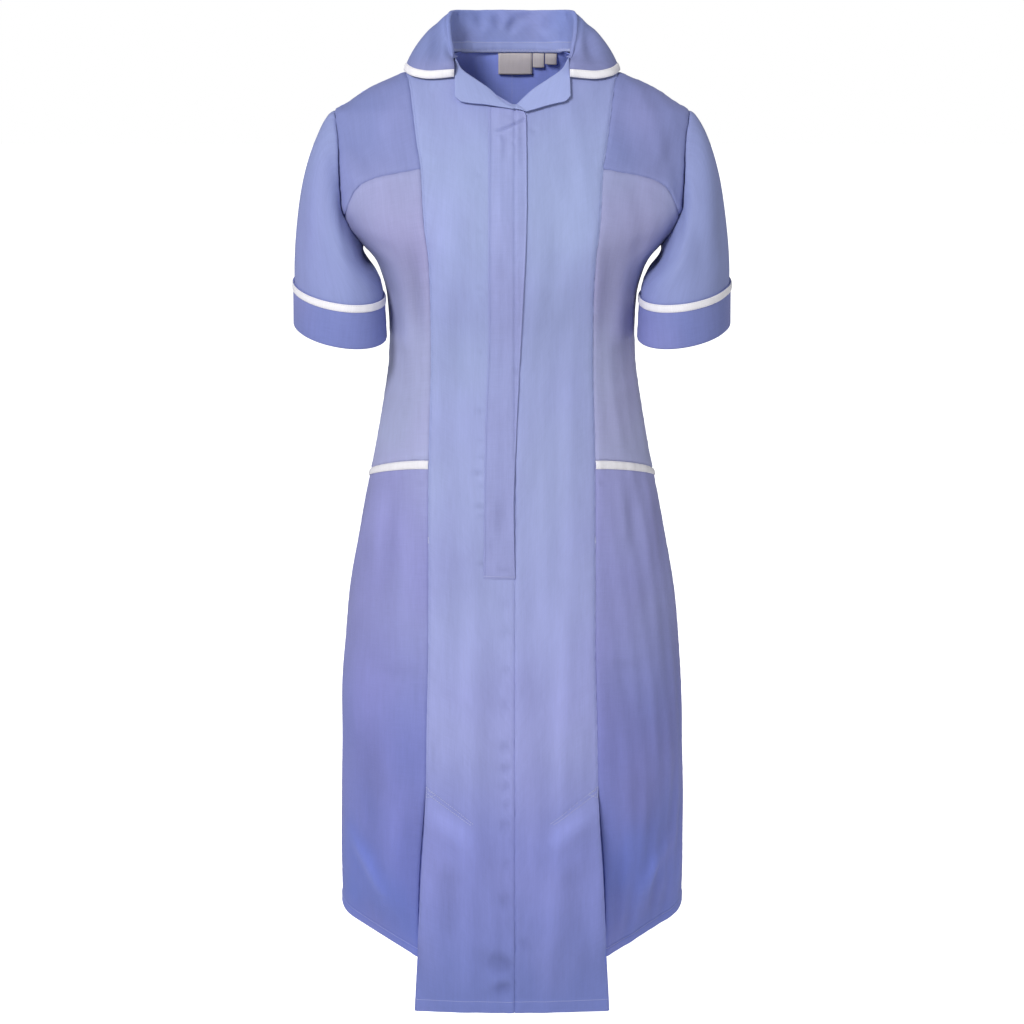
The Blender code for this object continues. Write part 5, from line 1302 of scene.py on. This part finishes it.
# Painted shade: the collar's leaf is painted darker than its stand, though both are one cloth
LEAF_PAINTED_SHADE = -0.0034
collar = collar_shape()
collar_leaf = eased((np.arange(len(collar.points))[:, None] - 20) / 4)
collar_relief = crease_relief(collar.points, COLLAR_CREASES) * collar_leaf
back_stand = eased((collar.points[..., 1] - 0.020) / 0.015) * (1 - collar_leaf)
collar_relief += crease_relief(collar.points, STAND_CREASES) * back_stand
collar_relief += soft_waves(collar.points, 71, 0.0003, WAVE_LENGTHS)
collar = Sheet(collar.points + collar.normals * collar_relief[..., None], collar.normals, collar.cut,
               collar_relief + LEAF_PAINTED_SHADE * collar_leaf)
COLLAR_SHADES = (Shade(0.050, 132, 146, 208), Shade(0.010, 137, 149, 205), Shade(-0.022, 142, 148, 200))
collar_twill = cloth_material("twill_collar", COLLAR_SHADES, (150, 148, 198), 0.4)
worn(cloth("collar_cloth", collar, CLOTH / 2, -CLOTH / 2, collar_twill), ["collar"])

edge_rows = rows_at(collar, (1 - BINDING_STEPS) * COLLAR_TRIM_WIDTH, "bottom", COLLAR_COLUMNS // 2)
edge_points, edge_normals = [], []
for column in range(COLLAR_COLUMNS):
    rows = rows_at(collar, (1 - BINDING_STEPS) * COLLAR_TRIM_WIDTH, "bottom", column)
    point, normal = read_grid(collar, rows, np.array((float(column),)))
    edge_points.append(point[:, 0])
    edge_normals.append(normal[:, 0])
edge_points = np.array(edge_points).transpose(1, 0, 2)
edge_normals = np.array(edge_normals).transpose(1, 0, 2)
binding_on("collar_binding", edge_points, edge_normals, CLOTH / 2 + LAYER_GAP / 2, "collar_trim")


# Sleeves and cuffs
# Short set-in sleeves with one underarm seam. The end is turned up outside as a deep cuff,
# and a white binding covers the cuff's top edge.
SleeveLeave = namedtuple("SleeveLeave", "around x y z")
SLEEVE_LEAVES = (
    SleeveLeave(0, 0.0225, 0.000, -0.006), SleeveLeave(45, 0.0260, -0.010, -0.022),
    SleeveLeave(90, 0.0120, -0.030, -0.040), SleeveLeave(135, -0.0080, -0.036, -0.034),
    SleeveLeave(180, 0.0060, -0.004, -0.016), SleeveLeave(225, 0.0120, 0.010, -0.020),
    SleeveLeave(270, 0.0140, 0.022, -0.036), SleeveLeave(315, 0.0240, 0.008, -0.020),
    SleeveLeave(360, 0.0225, 0.000, -0.006),
)
SLEEVE_START, SLEEVE_DROP = 0.00005, 0.42
CUFF_CENTRE = (0.1862, -0.0320)
CUFF_HALF_X, CUFF_HALF_Y, CUFF_SKEW, CUFF_FLARE = 0.0485, 0.0550, 0.0140, 0.0015
CUFF_HEM, CUFF_TILT_OUT, CUFF_TILT_FRONT, CUFF_DEPTH = -0.2845, 0.0075, 0.0085, 0.045
CUFF_TRIM_WIDTH = 0.008
SLEEVE_COLUMNS = 110


def cuff_ring(around, height):
    """The cuff at heights above its hem."""
    flare = CUFF_FLARE * (1 - height / CUFF_DEPTH)
    x = CUFF_CENTRE[0] + (CUFF_HALF_X + flare) * np.cos(around)
    y = CUFF_CENTRE[1] - (CUFF_HALF_Y + flare) * np.sin(around) + CUFF_SKEW * np.cos(around)
    z = CUFF_HEM + CUFF_TILT_OUT * np.cos(around) - CUFF_TILT_FRONT * np.sin(around) + height
    return np.stack(np.broadcast_arrays(x, y, z), axis=-1)


def sleeve_rings():
    """The sleeve from the armhole seam to the cuff's hem; it starts at the underarm seam."""
    around = np.linspace(math.pi, 3 * math.pi, SLEEVE_COLUMNS)
    turned = np.degrees(around) % 360
    keys = [row.around for row in SLEEVE_LEAVES]
    leave = np.stack([smooth_table(keys, [row[axis] for row in SLEEVE_LEAVES])(turned) for axis in (1, 2, 3)],
                     axis=-1)
    seam_places = armhole(around % (2 * math.pi))
    seam = body_form(*seam_places.T)
    start = seam + (unit(leave) + outward(body_form, *seam_places.T)) * SLEEVE_START
    end = cuff_ring(around, CUFF_DEPTH)
    reach = np.linalg.norm(end - start, axis=1, keepdims=True)
    last_control = end + np.array((0.0, 0.0, SLEEVE_DROP)) * reach
    rings = []
    for share in np.concatenate(((0.0, 0.004, 0.012, 0.026), np.linspace(0.05, 0.97, 36))):
        rest = 1 - share
        rings.append(start * rest ** 3 + (start + leave) * 3 * share * rest ** 2
                     + last_control * 3 * share ** 2 * rest + end * share ** 3)
    rings += [cuff_ring(around, height) for height in np.linspace(CUFF_DEPTH, 0, 12)]
    points = np.array(rings)
    along = np.roll(points[:, :-1], -1, axis=1) - np.roll(points[:, :-1], 1, axis=1)
    normals = unit(np.cross(np.gradient(points[:, :-1], axis=0), along))
    return sheet_of(points, np.concatenate((normals, normals[:, :1]), axis=1))


CUFF_FIRST_ROW = 40
sleeve_shape = sleeve_rings()
if (sleeve_shape.normals[30, SLEEVE_COLUMNS // 2] @ np.array((1.0, 0.0, 0.0))) < 0:
    sleeve_shape = Sheet(sleeve_shape.points, -sleeve_shape.normals, sleeve_shape.cut)
SLEEVE_CREASES_LEFT = (
    Crease(0.196, -0.100, 0.206, -0.190, 0.004, 0.0090, 0.0016),
    Crease(0.186, -0.150, 0.200, -0.230, 0.004, 0.0100, -0.0017),
    Crease(0.180, -0.190, 0.158, -0.236, 0.004, 0.0070, 0.0017),
    Crease(0.218, -0.140, 0.224, -0.225, 0.002, 0.0090, -0.0012),
    Crease(0.172, -0.195, 0.150, -0.225, -0.003, 0.0050, -0.0013),
)
SLEEVE_CREASES_RIGHT = (
    Crease(-0.195, -0.095, -0.207, -0.185, -0.004, 0.0090, 0.0016),
    Crease(-0.187, -0.155, -0.200, -0.232, -0.004, 0.0100, -0.0017),
    Crease(-0.181, -0.186, -0.158, -0.233, -0.004, 0.0070, 0.0017),
    Crease(-0.219, -0.150, -0.225, -0.228, -0.002, 0.0090, -0.0012),
    Crease(-0.173, -0.197, -0.151, -0.224, 0.003, 0.0050, -0.0013),
)
SLEEVE_SHADES = (Shade(-0.050, 141, 151, 200), Shade(-0.160, 140, 150, 199), Shade(-0.290, 138, 148, 199))
CUFF_SHADES = (Shade(-0.230, 122, 132, 190), Shade(-0.290, 118, 128, 188))
sleeve_twill = cloth_material("twill_sleeve", SLEEVE_SHADES, (140, 144, 204), 0.4)
cuff_twill = cloth_material("twill_cuff", CUFF_SHADES, (142, 142, 200), 0.5)


def rows_of(sheet, first, last=None):
    return Sheet(sheet.points[first:last], sheet.normals[first:last], sheet.cut[first:last])


def turned_cuff(shape):
    """The cuff's outside, its folded edge, and the cloth that goes up again inside."""
    outside = shape.points + shape.normals * (SEAM_GAP + CLOTH * 0.5)
    inside = shape.points - shape.normals * (CLOTH * 1.5 + SEAM_GAP)
    hem, out = shape.points[-1], shape.normals[-1]
    half = CLOTH + SEAM_GAP
    middle = hem - out * (CLOTH / 2)
    bends = np.radians((0, 30, 60, 90, 120, 150, 180))[:, None, None]
    lower = np.array((0.0, 0.0, -1.0))
    fold = middle + out * half * np.cos(bends) + lower * half * np.sin(bends) * 0.7
    points = np.concatenate((outside[:-1], fold, inside[-2:4:-1]))
    outward_there = np.concatenate((shape.normals[:-1], out * np.cos(bends) + lower * np.sin(bends),
                                    -shape.normals[-2:4:-1]))
    return sheet_of(points, unit(outward_there))


for side, creases in (("left", SLEEVE_CREASES_LEFT), ("right", SLEEVE_CREASES_RIGHT)):
    form = sleeve_shape if side == "left" else mirrored(sleeve_shape)
    seed = 81 if side == "left" else 83
    sleeve = pressed(form, ("left", "right", "top"), seed, creases, wave=0.0007, wave_low=0.0009)
    head = np.exp(-sleeve.cut[..., 1] / 0.014) * np.cos(np.linspace(-math.pi, math.pi, SLEEVE_COLUMNS) / 2) ** 2
    ease = 0.0004 * head * ripple(sleeve.cut[..., 0] * 1.3, seed)
    sleeve = Sheet(sleeve.points + sleeve.normals * ease[..., None], sleeve.normals, sleeve.cut)
    body = rows_of(sleeve, 0, -1)
    worn(cloth(f"sleeve_{side}_cloth", body, 0.0, -CLOTH, sleeve_twill), [f"sleeve_{side}"])
    cuff = turned_cuff(rows_of(sleeve, CUFF_FIRST_ROW))
    worn(cloth(f"cuff_{side}_cloth", cuff, CLOTH / 2, -CLOTH / 2, cuff_twill), [f"cuff_{side}"])
    heights = rows_at(rows_of(sleeve, CUFF_FIRST_ROW), BINDING_STEPS * CUFF_TRIM_WIDTH
                      + sleeve.cut[CUFF_FIRST_ROW, 0, 1])
    ring = read_grid(rows_of(sleeve, CUFF_FIRST_ROW), heights, np.arange(SLEEVE_COLUMNS, dtype=float))
    binding_on(f"cuff_binding_{side}", *ring, 2 * SEAM_GAP + CLOTH, f"cuff_trim_{side}")


# Labels
# Three bare woven labels hang from the back neck seam: a wide one and two small ones.
Label = namedtuple("Label", "name x_from x_to top bottom")
LABELS = (
    Label("label_main", -0.0150, 0.0222, 0.0030, -0.0184),
    Label("label_size", 0.0229, 0.0354, 0.0030, -0.0108),
    Label("label_small", 0.0366, 0.0493, 0.0030, -0.0070),
)
LABEL_CLOTH, LABEL_HANG = 0.0006, 0.0016
LABEL_SHADES = (Shade(0.010, 213, 205, 206), Shade(-0.020, 206, 198, 200))
label_weave = cloth_material("label_weave", LABEL_SHADES, ridges=2600, sheen=0.2, roughness=0.5)
for label in LABELS:
    x = np.linspace(label.x_from, label.x_to, 14)[None]
    z = np.linspace(label.top, label.bottom, 14)[:, None]
    angle = math.pi - front_angle(x, z)
    down = (label.top - z) / (label.top - label.bottom)
    curl = 0.0006 * np.sin(math.pi * (x - label.x_from) / (label.x_to - label.x_from)) * down
    reach = CLOTH + LAYER_GAP + LABEL_HANG * down + curl
    z = z + 0 * x
    points = body_form(angle, z) - outward(body_form, angle, z) * reach[..., None]
    tag = sheet_of(points, -outward(body_form, angle, z))
    piece = cloth(f"{label.name}_cloth", tag, LABEL_CLOTH, 0.0, label_weave)
    worn(piece, [label.name])


# Back neck finish
# The collar's seam allowance is overlocked, turned down inside the back neck and stitched.
NECK_BAND_TOP, NECK_BAND_WIDTH, NECK_BAND_SHARE, NECK_BAND_REACH = 0.0142, 0.0108, 0.70, 0.0016
BAND_STEPS = np.array((0.0, 0.03, 0.1, 0.25, 0.4, 0.55, 0.7, 0.85, 0.95, 1.0))
band_shares = np.linspace(-1, 1, COLLAR_COLUMNS)
seam_angles = smooth_table([row.share for row in COLLAR_POINTS], [row.seam_angle for row in COLLAR_POINTS])


def inside_neck(column, levels):
    """Places at set heights up the inside of the back and then of the collar's stand."""
    turn = np.radians(seam_angles(np.abs(band_shares[column]))) * np.sign(band_shares[column] + 1e-9)
    z = np.linspace(NECK_BAND_TOP - 2 * NECK_BAND_WIDTH, collar.points[0, column, 2] - 0.0010, 12)
    below = body_form(turn, z) - outward(body_form, turn, z) * CLOTH
    path = np.concatenate((below, collar.points[:12, column]))
    return np.stack([np.interp(levels, path[:, 2], path[:, axis]) for axis in range(3)], axis=-1)


band_columns = np.flatnonzero(np.abs(band_shares) < NECK_BAND_SHARE)
band_points = np.stack([inside_neck(column, NECK_BAND_TOP - BAND_STEPS * NECK_BAND_WIDTH)
                        for column in band_columns], axis=1)
neck_band = sheet_of(band_points)
if neck_band.normals[5, len(band_columns) // 2, 1] > 0:
    neck_band = Sheet(neck_band.points, -neck_band.normals, neck_band.cut)
band_lift = NECK_BAND_REACH + 0.0003 * ripple(neck_band.cut[..., 0], 91)
neck_band = Sheet(neck_band.points + neck_band.normals * band_lift[..., None], neck_band.normals, neck_band.cut)
BAND_SHADES = (Shade(0.030, 146, 157, 212), Shade(0.000, 150, 161, 214))
band_twill = cloth_material("twill_neck_band", BAND_SHADES)
piece = cloth("neck_allowance_cloth", neck_band, CLOTH * 0.6, 0.0, band_twill)
worn(piece, [])


# Zip
# Teeth run down the middle of the tape behind the placket, closed up to a slider at the top.
TOOTH_PITCH, TOOTH_WIDTH, TOOTH_HEIGHT, TOOTH_DEPTH = 0.0030, 0.0042, 0.0017, 0.0020
SLIDER_WIDTH, SLIDER_LENGTH, SLIDER_DEPTH = 0.0085, 0.0110, 0.0040


def metal_material(name, colour):
    material = bpy.data.materials.new(name)
    material.use_nodes = True
    shader = material.node_tree.nodes["Principled BSDF"]
    shader.inputs["Base Color"].default_value = (*srgb(*colour), 1.0)
    shader.inputs["Roughness"].default_value = 0.4
    place = material.node_tree.nodes.new("ShaderNodeTexCoord").outputs["Object"]
    worn_spots = noise(material.node_tree, place, 400.0)
    link(material.node_tree, maths(material.node_tree, "ADD", worn_spots, -0.1), shader.inputs["Roughness"])
    return material


def solid_form(maker, **sizes):
    """The corners and faces of one primitive, for a mesh that repeats it."""
    maker(**sizes)
    shape = bpy.context.object
    corners = np.array([vertex.co[:] for vertex in shape.data.vertices])
    faces = [tuple(face.vertices) for face in shape.data.polygons]
    bpy.data.objects.remove(shape)
    return corners, faces


def repeated(name, form, centres, ahead, up, material):
    """One mesh that holds a copy of a form at each place; X runs ahead and Z goes up."""
    corners, faces = form
    side = np.cross(up, ahead)
    placed = (centres[:, None] + corners[None, :, :1] * ahead[:, None] + corners[None, :, 1:2] * side[:, None]
              + corners[None, :, 2:] * up[:, None])
    every = [tuple(corner + start for corner in face)
             for start in range(0, len(centres) * len(corners), len(corners)) for face in faces]
    mesh = bpy.data.meshes.new(name)
    mesh.from_pydata(placed.reshape(-1, 3).tolist(), [], every)
    mesh.shade_smooth()
    mesh.materials.append(material)
    piece = bpy.data.objects.new(name, mesh)
    bpy.context.scene.collection.objects.link(piece)
    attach(piece, "root")
    return piece


tooth = solid_form(bpy.ops.mesh.primitive_cube_add, size=1.0)
tooth_z = np.arange(ZIP_TAPE_TOP - 0.020, PLACKET_END + 0.010, -TOOTH_PITCH)
tooth_points, tooth_out = on_front(CENTRE_SEAM_X + 0 * tooth_z, tooth_z, fronts)
tooth_points = tooth_points - tooth_out * (CLOTH * 2 + LAYER_GAP)
tooth_down = unit(np.gradient(tooth_points, axis=0))
zip_blue = metal_material("zip_blue", (96, 106, 176))
tooth_sizes = np.array((TOOTH_HEIGHT, TOOTH_WIDTH, TOOTH_DEPTH))
repeated("zip_teeth", (tooth[0] * tooth_sizes, tooth[1]), tooth_points, tooth_down, tooth_out, zip_blue)
slider_sizes = np.array((SLIDER_LENGTH, SLIDER_WIDTH, SLIDER_DEPTH))
repeated("zip_slider", (tooth[0] * slider_sizes, tooth[1]), tooth_points[:1], tooth_down[:1], tooth_out[:1],
         zip_blue)


# Sewing
# Rows of machine stitches in matching thread, and in white on the bindings. Each stitch is
# a short raised thread. Overlock and bar tacks are stitches laid close across their line.
STITCH_PITCH, STITCH_LENGTH, STITCH_WIDTH = 0.0026, 0.0022, 0.00046
stitch_ball = solid_form(bpy.ops.mesh.primitive_uv_sphere_add, segments=6, ring_count=4, radius=0.5)


def edge_line(sheet, side, inset, first=0.0, last=1.0, lift=0.0):
    """A line on a sheet at an even distance from one edge, between two shares of its length."""
    beside = side in ("left", "right")
    count = sheet.points.shape[0 if beside else 1] - 1
    points, normals = [], []
    for number in range(round(first * count), round(last * count) + 1):
        here = np.array((float(number),))
        if beside:
            found = read_grid(sheet, here, columns_at(sheet, (inset,), side, number))
        else:
            found = read_grid(sheet, rows_at(sheet, (inset,), side, number), here)
        points.append(found[0][0, 0])
        normals.append(found[1][0, 0])
    points, normals = np.array(points), unit(np.array(normals))
    return points + normals * lift, normals


def front_line(places, count=40, lift=0.0):
    """A line on the pressed fronts through places (x, z) as seen from the front."""
    shares = np.linspace(0, len(places) - 1, count)
    keys = np.arange(len(places))
    x = np.interp(shares, keys, [place[0] for place in places])
    z = np.interp(shares, keys, [place[1] for place in places])
    points, normals = on_front(x, z, fronts)
    return points + normals * lift, normals


def sewn(name, lines, material, slot="twill", pitch=STITCH_PITCH, length=STITCH_LENGTH, lean=0.0,
         width=STITCH_WIDTH):
    """Stitches along lines; lean turns them across the line, to one side and then the other."""
    centres, ahead, up = [], [], []
    for points, normals in lines:
        reach = np.concatenate(([0.0], np.linalg.norm(np.diff(points, axis=0), axis=1).cumsum()))
        where = np.arange(pitch / 2, reach[-1], pitch)

        def at(values, places):
            return np.stack([np.interp(places, reach, values[:, axis]) for axis in range(3)], axis=-1)

        out = unit(at(normals, where))
        along = unit(at(points, where + pitch / 4) - at(points, where - pitch / 4))
        across = np.cross(out, along)
        turn = lean * np.where(np.arange(len(where)) % 2, 1.0, -1.0)[:, None]
        centres.append(at(points, where))
        ahead.append(along * np.cos(turn) + across * np.sin(turn))
        up.append(out)
    form = stitch_ball[0] * np.array((length, width, width)), stitch_ball[1]
    return repeated(name, form, np.concatenate(centres), np.concatenate(ahead), np.concatenate(up), material)


def thread_material(name, colour):
    material = bpy.data.materials.new(name)
    material.use_nodes = True
    shader = material.node_tree.nodes["Principled BSDF"]
    shader.inputs["Roughness"].default_value = 0.6
    place = material.node_tree.nodes.new("ShaderNodeTexCoord").outputs["Object"]
    ramp = material.node_tree.nodes.new("ShaderNodeValToRGB")
    ramp.color_ramp.elements[0].color = (*srgb(*(value * 0.88 for value in colour)), 1.0)
    ramp.color_ramp.elements[1].color = (*srgb(*colour), 1.0)
    link(material.node_tree, noise(material.node_tree, place, 900.0), ramp.inputs["Fac"])
    link(material.node_tree, ramp.outputs["Color"], shader.inputs["Base Color"])
    return material


blue_thread = thread_material("thread_blue", (140, 150, 208))
pale_thread = thread_material("thread_pale", (205, 210, 238))
white_thread = thread_material("thread_white", (232, 230, 236))
for number, side in enumerate(("left", "right")):
    middle, skirt = fronts[number], skirts[number]
    sewn(f"stitches_princess_{side}", [edge_line(middle, "right", 0.0027, 0.04)], blue_thread)
    hems = [edge_line(middle, "bottom", FRONT_HEM - 0.0015), edge_line(skirt, "bottom", SIDE_HEM - 0.002),
            edge_line(backs[number], "bottom", SIDE_HEM - 0.002),
            edge_line(back_sides[number], "bottom", SIDE_HEM - 0.002)]
    sewn(f"stitches_hem_{side}", hems, pale_thread)
    way = 1 if side == "left" else -1
    pleat = [front_line(((way * 0.0950, -0.7770), (way * 0.0425, -0.8150)), lift=0.0003),
             front_line(((way * 0.0935, -0.7840), (way * 0.0460, -0.8155)), lift=0.0003),
             front_line(((way * 0.0950, -0.7770), (way * 0.0945, -0.7890), (way * 0.0850, -0.7850),
                         (way * 0.0930, -0.7800)), 24, 0.0003)]
    sewn(f"stitches_pleat_{side}", pleat, pale_thread, width=0.0006)
    sewn(f"bar_tack_{side}", [front_line(((way * 0.0893, -0.4965), (way * 0.0893, -0.5035)), 8)], pale_thread,
         pitch=0.0006, length=0.0026, lean=1.4)

placket_top = Sheet(placket.points + placket.normals * placket_outer[..., None], placket.normals, placket.cut)
sewn("stitches_placket", [edge_line(placket_top, "left", 0.0016)], blue_thread)
sewn("stitches_placket_end", [edge_line(placket_top, "bottom", 0.0030)], pale_thread, pitch=0.0022)
for name, surface in bindings.items():
    lines = [edge_line(surface, side, 0.0011, lift=0.0001) for side in ("top", "bottom")]
    sewn(f"stitches_{name}", lines, white_thread, slot="binding")
neck_lines = [edge_line(neck_band, "top", 0.0014, lift=CLOTH * 0.6),
              edge_line(neck_band, "bottom", 0.0016, lift=CLOTH * 0.6)]
sewn("stitches_back_neck", neck_lines[:1], pale_thread, width=0.0006)
sewn("overlock_back_neck", neck_lines[1:], pale_thread, pitch=0.0017, length=0.0042, lean=1.1, width=0.0006)


# Light, floor and camera
# A pale studio floor, one broad soft light before the chest and weaker ones at the sides,
# and the camera at the photo's height, looking a little down.
CAMERA_PLACE = (0.0, -1.6822, -0.0176)
CAMERA_DOWN = 16.0
CAMERA_LENS = 53.9
FLOOR_Z = -1.42
FLOOR_SIZE = 60.0
WORLD_LIGHT, FLOOR_LIGHT = 0.27, 0.08


def soft_light(name, place, aim, width, height, power):
    light = bpy.data.lights.new(name, "AREA")
    light.shape = "RECTANGLE"
    light.size, light.size_y = width, height
    light.energy = power
    lamp = bpy.data.objects.new(name, light)
    bpy.context.scene.collection.objects.link(lamp)
    lamp.location = place
    away = np.array(place) - np.array(aim)
    lamp.rotation_euler = (math.acos(away[2] / np.linalg.norm(away)), 0, math.atan2(away[0], -away[1]))


soft_light("key", (-1.20, -2.05, 1.25), (0.0, 0.0, -0.40), 0.8, 0.7, 56.0)
soft_light("fill_left", (-2.2, -1.2, -0.2), (0.0, 0.0, -0.5), 1.2, 1.8, 4.0)
soft_light("fill_right", (2.2, -1.4, -0.2), (0.0, 0.0, -0.5), 1.2, 1.8, 13.0)

world = bpy.data.worlds.new("studio")
bpy.context.scene.world = world
world.use_nodes = True
world_tree = world.node_tree
sky = world_tree.nodes["Background"]
sky.inputs["Color"].default_value = (1.0, 1.0, 1.0, 1.0)
seen = world_tree.nodes.new("ShaderNodeLightPath").outputs["Is Camera Ray"]
glow = maths(world_tree, "ADD", maths(world_tree, "MULTIPLY", seen, 1.0 - WORLD_LIGHT), WORLD_LIGHT)
link(world_tree, glow, sky.inputs["Strength"])

bpy.ops.mesh.primitive_plane_add(size=FLOOR_SIZE, location=(0, 0, FLOOR_Z))
floor = bpy.context.object
floor.name = "floor"
floor_material = bpy.data.materials.new("studio_floor")
floor_material.use_nodes = True
floor_shader = floor_material.node_tree.nodes["Principled BSDF"]
floor_shader.inputs["Base Color"].default_value = (0.93, 0.93, 0.93, 1.0)
floor_shader.inputs["Roughness"].default_value = 0.9
floor_shader.inputs["Emission Color"].default_value = (1.0, 1.0, 1.0, 1.0)
floor_tree = floor_material.node_tree
seen = floor_tree.nodes.new("ShaderNodeLightPath").outputs["Is Camera Ray"]
glow = maths(floor_tree, "ADD", seen, FLOOR_LIGHT)
link(floor_tree, glow, floor_shader.inputs["Emission Strength"])
floor.data.materials.append(floor_material)

camera = bpy.data.objects.new("camera", bpy.data.cameras.new("camera"))
bpy.context.scene.collection.objects.link(camera)
camera.location = CAMERA_PLACE
camera.rotation_euler = (math.radians(90 - CAMERA_DOWN), 0, 0)
camera.data.lens = CAMERA_LENS
bpy.context.scene.camera = camera
bpy.context.scene.view_settings.view_transform = "Standard"
